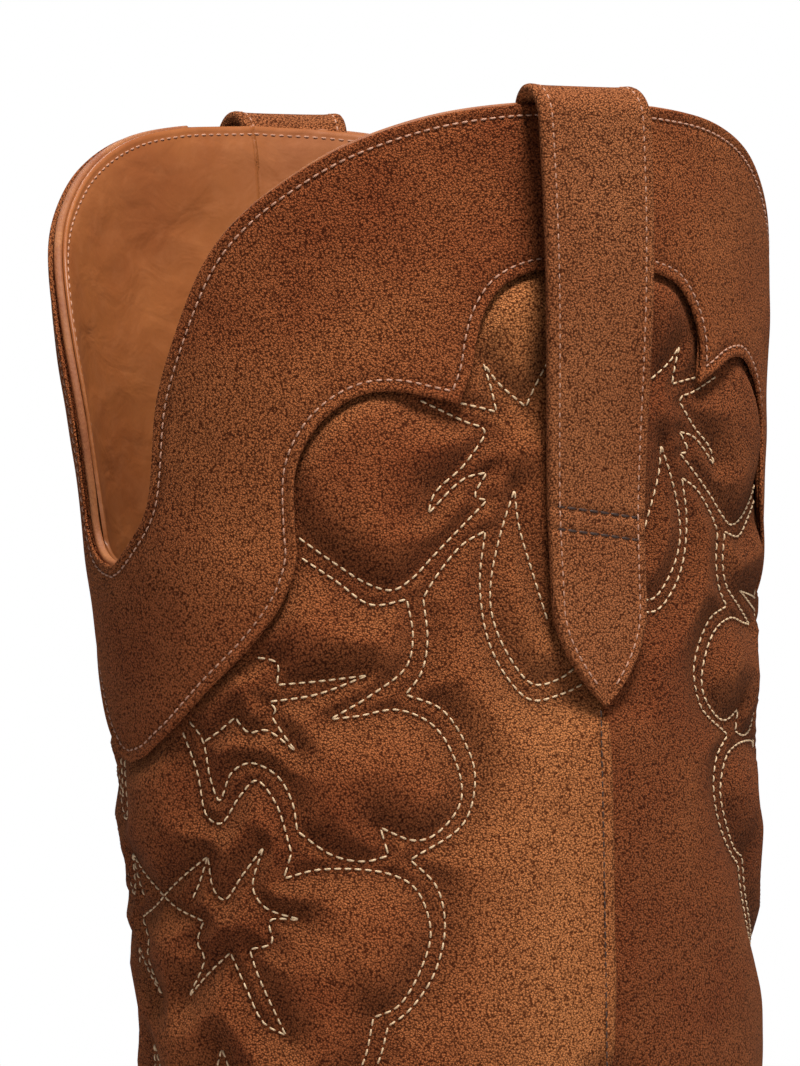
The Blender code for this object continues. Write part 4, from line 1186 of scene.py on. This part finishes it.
TOP_ROWS = (2.2, 4.4)  # how far the rows of stitches lie from the foot's top edges
SIDE_ROWS = (2.0, 4.2)  # and from the heel cover's front edges
DEGREES_PER_MM = 1.55  # round the heel cover's front edges
VAMP_TUCK = 7.0  # how many degrees the vamp goes on under the heel cover
HEEL_LAP = 2.4  # how many degrees the heel cover's front edges lap over the vamp


def foot_grid(lower, upper, u, r):
    u = np.asarray(u)[None, :]
    r = np.asarray(r)[:, None]
    low_angle, low_station = edge_curve(lower, u)
    high_angle, high_station = edge_curve(upper, u)
    angle = low_angle + (high_angle - low_angle) * r
    station = low_station + (high_station - low_station) * r
    straight = SEAM_FOOT[0] + (SEAM_TOP[0] - SEAM_FOOT[0]) * r
    seam_station = SEAM_FOOT[1] + (SEAM_TOP[1] - SEAM_FOOT[1]) * r
    seam = smooth(np.array(SEAM_STATIONS), np.array(SEAM_ANGLES), seam_station)
    return angle + np.sign(u) * (seam - straight) * np.abs(u) ** 3, station


# The toe's stitched figure on one side, as runs of angle and station
TOE_MEDALLION = [
    [(0, 16.2), (16, 16.6), (30, 17.6), (36, 18.8), (28, 19.6), (14, 19.3), (0, 18.4)],
    [(0, 15.2), (20, 15.6), (38, 16.8), (47, 18.6), (42, 20.2), (26, 20.9), (10, 20.6), (0, 20.0)],
    [(0, 17.2), (9, 17.6), (14, 18.3), (6, 18.0), (0, 17.6)],
    [(0, 15.2), (6, 14.3), (0, 13.2)],
    [(38, 16.8), (52, 16.2), (60, 15.2), (50, 15.2), (40, 15.9)],
]
RUN_SCALE = (1, 6)  # a station is about as far as six degrees


def foot_rows():
    """The toe's stitched rows on both sides, as runs of angle and station."""
    paths = [spline(np.array(run, float) * RUN_SCALE, 0.6) / RUN_SCALE for run in TOE_MEDALLION]
    return [path * (side, 1) for side in (1, -1) for path in paths]


def grooves(distance, insets):
    """How far rows of stitches at the insets from an edge draw the leather in."""
    return sum(0.3 * bell(distance - inset, 0.7) for inset in insets)


def upper_depth(node, base, station, angle):
    """How much deeper than its layer the foot's upper lies at each point, and its relief value, which paints
    shade into the stitched grooves and dimples.
    """
    edge = distances_to(base, [base[-1]])
    seam = distances_to(base, [base[:, 0], base[:, -1]])
    drawn = grooves(edge, TOP_ROWS)
    if node == "vamp":
        dimple = 0.45 * bell(distances_to(base, [skin(path[:, 1], path[:, 0]) for path in foot_rows()]), 1.1)
        depth = 1.1 * bell(seam, 6.0, 4) + dimple + flex_creases(station, angle)
        relief = 1 - drawn - dimple * 1.5
    else:
        drawn = drawn + grooves(seam, SIDE_ROWS)
        depth = rounded(seam) - 0.55 * bell(seam, 8.0)
        relief = 1 - drawn
    return depth + rounded(edge) + drawn - swells(base) * np.clip(edge / 10, 0, 1), np.clip(relief, 0, 1)


def make_foot_piece(name, stops, u_range, layer, material, slot, node, decorated):
    """A sheet of the foot between its lower and upper edges. The layer is its depth and its thickness."""
    depth, thickness = layer
    rows, columns = (170, 260) if decorated else (60, 110)
    u = np.linspace(*u_range, int(columns / FINE) | 1)
    angle, station = foot_grid(*stops, u, np.linspace(0, 1, int(rows / FINE)))
    if node == "heel_cover":
        angle = angle - HEEL_LAP * np.sign(u) * np.abs(u) ** 12
    elif decorated:
        angle = angle + VAMP_TUCK * np.sign(u) * np.abs(u) ** 16
    base = skin(station, angle)
    if decorated:
        deeper, relief = upper_depth(node, base, station, angle)
        depth = depth + deeper
    points = skin(station, angle, np.broadcast_to(depth, base.shape[:2]))
    obj = add_mesh(name, points.reshape(-1, 3), grid_faces(*base.shape[:2]), material)
    if decorated:
        # Painted shade in the stitched grooves and the toe's stitch dimples
        add_values(obj, "relief", relief)
        add_values(obj, "gold_and_highlight", 0.25 + 0.2 * waves(base, 70, 33))
    finished(solidified(obj, thickness), slot, node)


# Each fold's station, width, height, and the way and amount it leans
FLEX_FOLDS = ((14.3, 0.22, 0.45, 1.0), (15.1, 0.26, 0.5, -0.6), (13.4, 0.2, 0.3, 0.5))


def flex_creases(station, angle):
    """Shallow folds across the instep, where the boot bends as it walks."""
    total = np.zeros(station.shape)
    turn = np.radians(angle)
    for middle, width, height, side in FLEX_FOLDS:
        bend = middle + 0.35 * np.sin(turn * 1.5 * side) + 0.12 * np.sin(turn * 5)
        fade = bell(np.abs(angle) - 30 * abs(side), 42.0)
        total += height * fade * bell(station - bend, width)
    return total


def swells(points):
    """The foot's gentle unevenness, as a height over the skin."""
    return 0.28 * waves(points, 38, 31) + 0.1 * waves(points, 12, 32)


def make_foot():
    outer, inner = (0.15, VAMP_THICKNESS), (FOOT_LINING_DEPTH, LINING_THICKNESS)
    vamp, heel = (VAMP_FOOT, VAMP_TOP), (HEEL_FOOT, HEEL_TOP)
    vamp_lining = (VAMP_FOOT, [(0, 0, 8.0), (0.5, 48, 8.35), (1, SEAM_TOP[0], 8.8)])
    heel_lining = (HEEL_FOOT, [(0, 180, 8.0), (0.5, 136, 8.35), (1, SEAM_TOP[0], 8.8)])
    for name, stops, ends, layer, material, slot, node, decorated in (
        ("vamp_upper", vamp, (-1, 1), (0, VAMP_THICKNESS), SUEDE, "suede", "vamp", True),
        ("heel_upper", heel, (1, -1), outer, SUEDE, "suede", "heel_cover", True),
        ("vamp_inside", vamp_lining, (-1, 1), inner, LINING, "lining_leather", "vamp_lining", False),
        ("heel_inside", heel_lining, (1, -1), inner, LINING, "lining_leather", "heel_lining", False),
    ):
        make_foot_piece(name, stops, ends, layer, material, slot, node, decorated)
    paths = []
    for angle, station in [path.T for path in foot_rows()]:
        depth = 0.15 + flex_creases(station, angle) - swells(skin(station, angle))
        paths.append(with_outward(station, angle, depth))
    finished(stitch_mesh("toe_stitching", paths, CREAM), "suede")
    paths = []
    for stops, start in ((VAMP_TOP, 0.25), (HEEL_TOP, 0.4)):
        angle, station = edge_curve(stops, np.linspace(-1, 1, 400))
        line, out = with_outward(station, angle, 0.0)
        below = skin(station + 0.08, angle) - line
        inward = unit(np.cross(unit(np.gradient(line, axis=0)), out))
        inward *= np.sign(np.sum(inward * below, axis=1, keepdims=True))
        paths += [(line + inward * inset - out * start, out) for inset in TOP_ROWS]
    r = np.linspace(0.25, 1, 300)
    for side in (1, -1):
        angle, station = foot_grid(HEEL_FOOT, HEEL_TOP, [side * 1.0], r)
        for inset in SIDE_ROWS:
            turned = angle[:, 0] - side * (HEEL_LAP - inset * DEGREES_PER_MM)
            paths.append(with_outward(station[:, 0], turned, -0.35))
    finished(stitch_mesh("foot_edge_stitching", paths, TONAL), "suede")


# ---------------------------------------------------------------- the sole

WELT_TOP = 0.8
WELT_END_X = 46.0
OUTSOLE_TOP = 3.5
OUTSOLE_FOOT = 7.7
SOCK_TOP = -9.35
SOCK_HEIGHT = 1.0


def sole_line(x):
    """Height of the upper's underside above a place along the sole."""
    stops = np.array([TOE_X - 1, -132, -123, -109, -90, -68, -45, -20, 8, 38, 60, 70, 95, 142])
    height = np.array([19.5, 17.2, 15.2, 12.4, 9.4, TREAD_Z, 8.5, 14.2, 26.8, 40.8, 47.6, 49, 49, 49])
    return smooth(stops, height, x)


def sole_shift(x):
    low = STATIONS[SEAT:-1]
    return np.interp(-np.asarray(x, float), -low[:, 2], low[:, 8])


def below_upper(x, y, drop):
    """A point on a level under the upper's underside, square to the sole line."""
    here = np.maximum(x, TOE_X + 0.5)
    slope = sole_line(here + 0.5) - sole_line(here - 0.5)
    size = np.sqrt(1 + slope**2)
    return np.stack([x + drop * slope / size, y + sole_shift(x), sole_line(x) - drop / size], -1)


# One side of the sole's edge as a smooth curve, from the toe's tip to the heel's
SOLE_ENDS = [places[::-1] * (1, -1) for places in (SOLE_EDGE[:4], SOLE_EDGE[-4:])]
SOLE_LOOP = spline(np.concatenate([SOLE_ENDS[0], SOLE_EDGE, SOLE_ENDS[1]]), 0.25)
SOLE_TURNS = np.flatnonzero(np.diff(np.sign(SOLE_LOOP[:, 1])))
SOLE_OUTLINE = SOLE_LOOP[SOLE_TURNS[0] + 1 : SOLE_TURNS[-1] + 1]
SOLE_OUTLINE = np.concatenate([[(TOE_X, 0.0)], SOLE_OUTLINE, [(HEEL_X, 0.0)]])


def sole_half_width(x):
    return np.interp(x, np.maximum.accumulate(SOLE_OUTLINE[:, 0]), SOLE_OUTLINE[:, 1])


def sole_plate(name, material, top, height, start, end, half_width, bevel=0.5):
    """A level of the sole with rounded edges, from one place along it to another."""
    t = np.linspace(0, 1, int(240 / FINE))
    x = start + (end - start) * (0.5 - 0.5 * np.cos(math.pi * t)) * 0.7 + (end - start) * 0.3 * t
    half = np.maximum(half_width(x), bevel + 0.4)
    turn = np.linspace(0, math.pi / 2, 5)
    corner = [(bevel * (1 - math.cos(a)), bevel * (1 - math.sin(a))) for a in turn]
    across = np.linspace(-1, 1, 13)[1:-1]
    section = [(-1, inset, drop) for inset, drop in corner]
    section += [(share, bevel, 0.0) for share in across]
    section += [(1, inset, drop) for inset, drop in corner[::-1]]
    section += [(1, inset, height - drop) for inset, drop in corner]
    section += [(share, bevel, height) for share in across[::-1]]
    section += [(-1, inset, height - drop) for inset, drop in corner[::-1]]
    lines = [below_upper(x, share * (half - inset), top + drop) for share, inset, drop in section]
    return tube(name, np.array(lines).transpose(1, 0, 2), material, flip=True)


# The section of the welt and the rand, as distances in from the edge and drops. Its inner part rises in a
# bead against the upper.
RING_EDGE = [(0.5, 0.0), (0.12, 0.35), (0.0, 0.9), (0.0, 1.6), (0.12, 2.1), (0.4, 2.4), (7.6, 2.4)]
RING_EDGE += [(8.0, 2.0)]
TOE_BEAD = [(8.0, -0.9), (6.6, -2.6), (5.2, -2.7), (4.4, -2.2), (3.6, -1.0), (3.1, -0.3), (2.6, 0.0)]
HEEL_BEAD = [(8.0, -2.5), (6.8, -4.3), (5.4, -4.4), (4.4, -3.4), (3.6, -1.6), (3.1, -0.5), (2.6, 0.0)]


def edge_path(toe, inset):
    """The edge of the toe or the heel half of the sole, moved inwards."""
    in_toe = SOLE_OUTLINE[:, 0] <= WELT_END_X
    half = SOLE_OUTLINE[in_toe][::-1] if toe else SOLE_OUTLINE[~in_toe]
    edge = resample(np.concatenate([half * (1, -1), half[::-1][1:]]), 0.2)
    return edge + square_to(edge) * (-1.0 if toe else 1.0) * inset


def sole_ring(name, toe):
    """The welt round the toe half of the sole, or the rand round the heel."""
    lines = []
    for inset, drop in RING_EDGE + (TOE_BEAD if toe else HEEL_BEAD):
        line = picked(edge_path(toe, inset), int(420 / FINE))
        line[0, 0] = line[-1, 0] = WELT_END_X
        tip = 1 + 0.9 * bell(line[:, 0] - TOE_X, 9)
        lines.append(below_upper(*line.T, WELT_TOP + np.where(drop < 0, drop * tip, drop)))
    return tube(name, np.array(lines).transpose(1, 0, 2), WELT_LEATHER, flip=not toe, flip_ends=True)


def sole_row(path, drop, step):
    """Points of a row of stitches on a level of the sole, with the direction out of it."""
    low = below_upper(*path.T, drop)
    return low, below_upper(*path.T, drop + step) - low


def make_sole():
    finished(sole_ring("welt_strip", True), "sole_leather", "welt")
    finished(sole_ring("heel_rand_strip", False), "sole_leather", "heel_rand")
    sole = sole_plate("outsole_leather", SOLE, OUTSOLE_TOP, 4.2, TOE_X, HEEL_X, sole_half_width, 0.8)
    finished(sole, "sole_leather", "outsole")
    start, end = TOE_X + 20, HEEL_X - 20

    def sock_half_width(x):
        return 0.64 * sole_half_width(TOE_X + (HEEL_X - TOE_X) * (x - start + 2) / (end - start + 4))

    sock = sole_plate("sock", LINING, SOCK_TOP, SOCK_HEIGHT, start, end, sock_half_width, 0.3)
    finished(sock, "lining_leather", "sock_liner")
    rows = [sole_row(edge_path(True, 1.7), WELT_TOP + 0.02, -1.0)]
    finished(stitch_mesh("welt_stitching", rows, CREAM, pitch=3.4, length=2.5, radius=0.5), "sole_leather")
    under = edge_path(True, 5.5)
    rows = [sole_row(under[under[:, 0] < WELT_END_X - 8], OUTSOLE_FOOT - 0.2, 1.0)]
    finished(stitch_mesh("sole_stitching", rows, CREAM, 3.4, 2.4, 0.45), "sole_leather")


# ---------------------------------------------------------------- the heel

HEEL_TOP_Z = 41.0
HEEL_BREAST_X = 72.0
BREAST_LEAN = 5.0
HEEL_SLOPE = 12.0
HEEL_HALF_WIDTH = 33.8
HEEL_TAPER = 2.6
TOP_LIFT_HEIGHT = 6.0
HEEL_LIFTS = 6
NAILS = 5
NAIL_RADIUS = 1.3
NAIL_ARC = (17, 22)  # half of the nails' arc, along the boot and across it
PEG_PLACES = (12.0, 24.0, 36.0, 48.0)
PEG_RADIUS = 1.1
CREASE_ANGLE = math.radians(35)  # edges sharper than this stay sharp


def heel_outline(z, inset):
    """The heel's outline at a height: a straight front face and a round back."""
    share = np.clip(1 - z / HEEL_TOP_Z, 0, 1)
    breast = HEEL_BREAST_X + BREAST_LEAN * share**0.8 + inset
    back = HEEL_X - HEEL_SLOPE * share**0.75 - inset
    wide = HEEL_HALF_WIDTH - HEEL_TAPER * share**0.8 - inset
    turn = np.linspace(-math.pi / 2, math.pi / 2, 97)
    straight = breast + (back - breast) * 0.42
    x = straight + (back - straight) * np.abs(np.cos(turn)) ** 0.92
    y = wide * np.sin(turn)
    sides = np.linspace(0, 1, 14)[1:, None]
    left = np.array([x[0], y[0]]) + (np.array([breast + 0.8, -wide * 0.985]) - (x[0], y[0])) * sides
    corner = np.array([[breast + 0.2, -wide * 0.985 + 0.25], [breast, -wide * 0.985 + 0.9]])
    half = np.concatenate([np.stack([x, y], -1)[:49][::-1], left, corner])
    return np.concatenate([half[::-1], (half * (1, -1))[1:]])


def heel_layer(name, material, low, high, bevel):
    rings = []
    for z, inset in ((low, bevel), (low + bevel, 0.0), (high - bevel, 0.0), (high, bevel)):
        x, y = heel_outline(z, inset).T
        rings.append(np.stack([x, y + sole_shift(x), np.full(len(x), z)], -1))
    return tube(name, rings, material)


def rod(name, start, end, radius, material, dome=0.0):
    """A round rod between two points, with a slightly domed first end."""
    start, end = np.asarray(start, float), np.asarray(end, float)
    axis = unit(end - start)
    side = unit(np.cross(axis, (0.0, 1.0, 0.0)))
    other = np.cross(axis, side)
    turn = np.linspace(0, 2 * math.pi, 24, endpoint=False)
    around = np.cos(turn)[:, None] * side + np.sin(turn)[:, None] * other
    ends = ((start - axis * dome, 0.45), (start - axis * dome * 0.6, 0.85), (start, 1.0), (end, 1.0))
    return tube(name, [centre + around * radius * size for centre, size in ends], material)


def drilled(obj, tools):
    """Cuts the tools out of a piece, and takes the tools away."""
    for tool in tools:
        modifier = obj.modifiers.new(tool.name, "BOOLEAN")
        modifier.operation = "DIFFERENCE"
        modifier.solver = "EXACT"
        modifier.object = tool
    data = bpy.data.meshes.new_from_object(obj.evaluated_get(bpy.context.evaluated_depsgraph_get()))
    obj.modifiers.clear()
    obj.data = data
    for tool in tools:
        bpy.data.objects.remove(tool)


def make_heel():
    pitch = (HEEL_TOP_Z - TOP_LIFT_HEIGHT) / HEEL_LIFTS
    for i in range(HEEL_LIFTS):
        high = HEEL_TOP_Z - pitch * i
        lift = heel_layer(f"heel_layer_{i + 1}", STACK, high - pitch + 0.05, high, 0.22)
        lift.data.set_sharp_from_angle(angle=CREASE_ANGLE)
        finished(lift, "stacked_leather", f"heel_lift_{i + 1}")
    top_lift = heel_layer("heel_tip", RUBBER, 0.0, TOP_LIFT_HEIGHT, 0.5)
    holes = []
    for i in range(NAILS):
        angle = math.radians(-100 + 50 * i)
        x = HEEL_BREAST_X + BREAST_LEAN + 26 + NAIL_ARC[0] * math.cos(angle)
        place = np.array([x, NAIL_ARC[1] * math.sin(angle), 0])
        nail = rod(f"brass_nail_{i + 1}", place + (0, 0, 0.5), place + (0, 0, 5.8), NAIL_RADIUS, BRASS, 0.25)
        finished(nail, "brass", f"heel_nail_{i + 1}")
        holes.append(rod(f"hole_{i}", place - (0, 0, 2), place + (0, 0, 8), NAIL_RADIUS + 0.3, RUBBER))
    bpy.context.view_layer.update()
    drilled(top_lift, holes)
    top_lift.data.shade_smooth()
    top_lift.data.set_sharp_from_angle(angle=CREASE_ANGLE)
    finished(top_lift, "rubber", "top_lift")
    for number, (x, side) in enumerate([(x, side) for x in PEG_PLACES for side in (-1, 1)], 1):
        place = np.array(x), np.array(side * (sole_half_width(x) - 5.5))
        ends = below_upper(*place, OUTSOLE_FOOT + 0.05), below_upper(*place, OUTSOLE_TOP + 0.2)
        peg = rod(f"sole_peg_{number}", *ends, PEG_RADIUS, PEG_WOOD, 0.15)
        finished(peg, "peg_wood", f"wood_peg_{number}")


# ---------------------------------------------------------------- pieces kept from the model

KEPT = {
    "toe_puff": BOARD,
    "heel_stiffener": BOARD,
    "insole": BOARD,
    "cork_filler": CORK,
    "shank": STEEL,
}


def dress_kept_pieces():
    for name, material in KEPT.items():
        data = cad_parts[name].data
        data.materials.clear()
        data.materials.append(material)


# ---------------------------------------------------------------- the picture

FLOOR_FADE = (0.3, 1.15)  # distances from the boot between which the floor fades into the backdrop


def floor_material():
    nodes = Nodes("floor")
    length = nodes.add("VectorMath", {0: nodes.place}, operation="LENGTH").outputs["Value"]
    nodes.put(nodes.span(length, *FLOOR_FADE, 1.0, 0.0), nodes.shader.inputs["Alpha"])
    return nodes.finish((0.8, 0.79, 0.78), 0.75, Specular_IOR_Level=0.2)


def make_floor():
    data = bpy.data.meshes.new("floor")
    turn = np.linspace(0, 2 * math.pi, 96, endpoint=False)
    ring = [(1.9 * math.cos(a), 1.9 * math.sin(a), 0.0) for a in turn]
    data.from_pydata(ring, [], [list(range(96))])
    data.materials.append(floor_material())
    floor = placed("floor", data)


AIM = Vector((0.06256, 0.00241, 0.3132))
CAMERA_DISTANCE = 1.74
CAMERA_TURN = math.radians(-35)
LENS = 293.8


def make_camera():
    data = bpy.data.cameras.new("camera")
    data.lens = LENS
    data.sensor_width = 36
    data.clip_start = 0.05
    data.clip_end = 20
    camera = placed("camera", data)
    camera.location = AIM + Vector((math.sin(CAMERA_TURN), -math.cos(CAMERA_TURN), 0)) * CAMERA_DISTANCE
    camera.rotation_euler = (AIM - camera.location).to_track_quat("-Z", "Y").to_euler()
    bpy.context.scene.camera = camera
    bpy.context.scene.render.resolution_x = 800
    bpy.context.scene.render.resolution_y = 1066


def area_light(name, azimuth, elevation, distance, size, power, colour):
    data = bpy.data.lights.new(name, "AREA")
    data.shape = "DISK"
    data.size = size
    data.energy = power
    data.color = colour
    light = placed(name, data)
    turn, rise = math.radians(azimuth), math.radians(elevation)
    target = Vector((0.05, 0.0, 0.24))
    way = Vector((math.sin(turn) * math.cos(rise), -math.cos(turn) * math.cos(rise), math.sin(rise)))
    light.location = target + way * distance
    light.rotation_euler = (-way).to_track_quat("-Z", "Y").to_euler()


def make_world():
    world = bpy.data.worlds.new("studio")
    world.use_nodes = True
    bpy.context.scene.world = world
    tree = world.node_tree
    background = tree.nodes["Background"]
    path = tree.nodes.new("ShaderNodeLightPath")
    mix = tree.nodes.new("ShaderNodeMix")
    mix.data_type = "RGBA"
    mix.inputs[6].default_value = (0.2, 0.2, 0.205, 1.0)
    mix.inputs[7].default_value = (1.0, 1.0, 1.0, 1.0)
    tree.links.new(path.outputs["Is Camera Ray"], mix.inputs[0])
    tree.links.new(mix.outputs[2], background.inputs["Color"])
    background.inputs["Strength"].default_value = 1.0


def light_and_frame():
    make_floor()
    make_camera()
    area_light("key", -15, 64, 1.6, 0.4, 38, (1.0, 0.96, 0.9))
    area_light("fill", 20, 20, 1.9, 1.0, 4, (1.0, 0.98, 0.95))
    area_light("back", 160, 50, 1.6, 0.8, 7, (1.0, 1.0, 1.0))
    make_world()
    bpy.context.scene.view_settings.view_transform = "Standard"


make_panels()
make_motif_stitching()
make_collars()
make_linings()
make_pull_strap("pull_strap_lateral", 1, -3.2)
make_pull_strap("pull_strap_medial", -1, 8.5)
make_foot()
make_sole()
make_heel()
dress_kept_pieces()
light_and_frame()
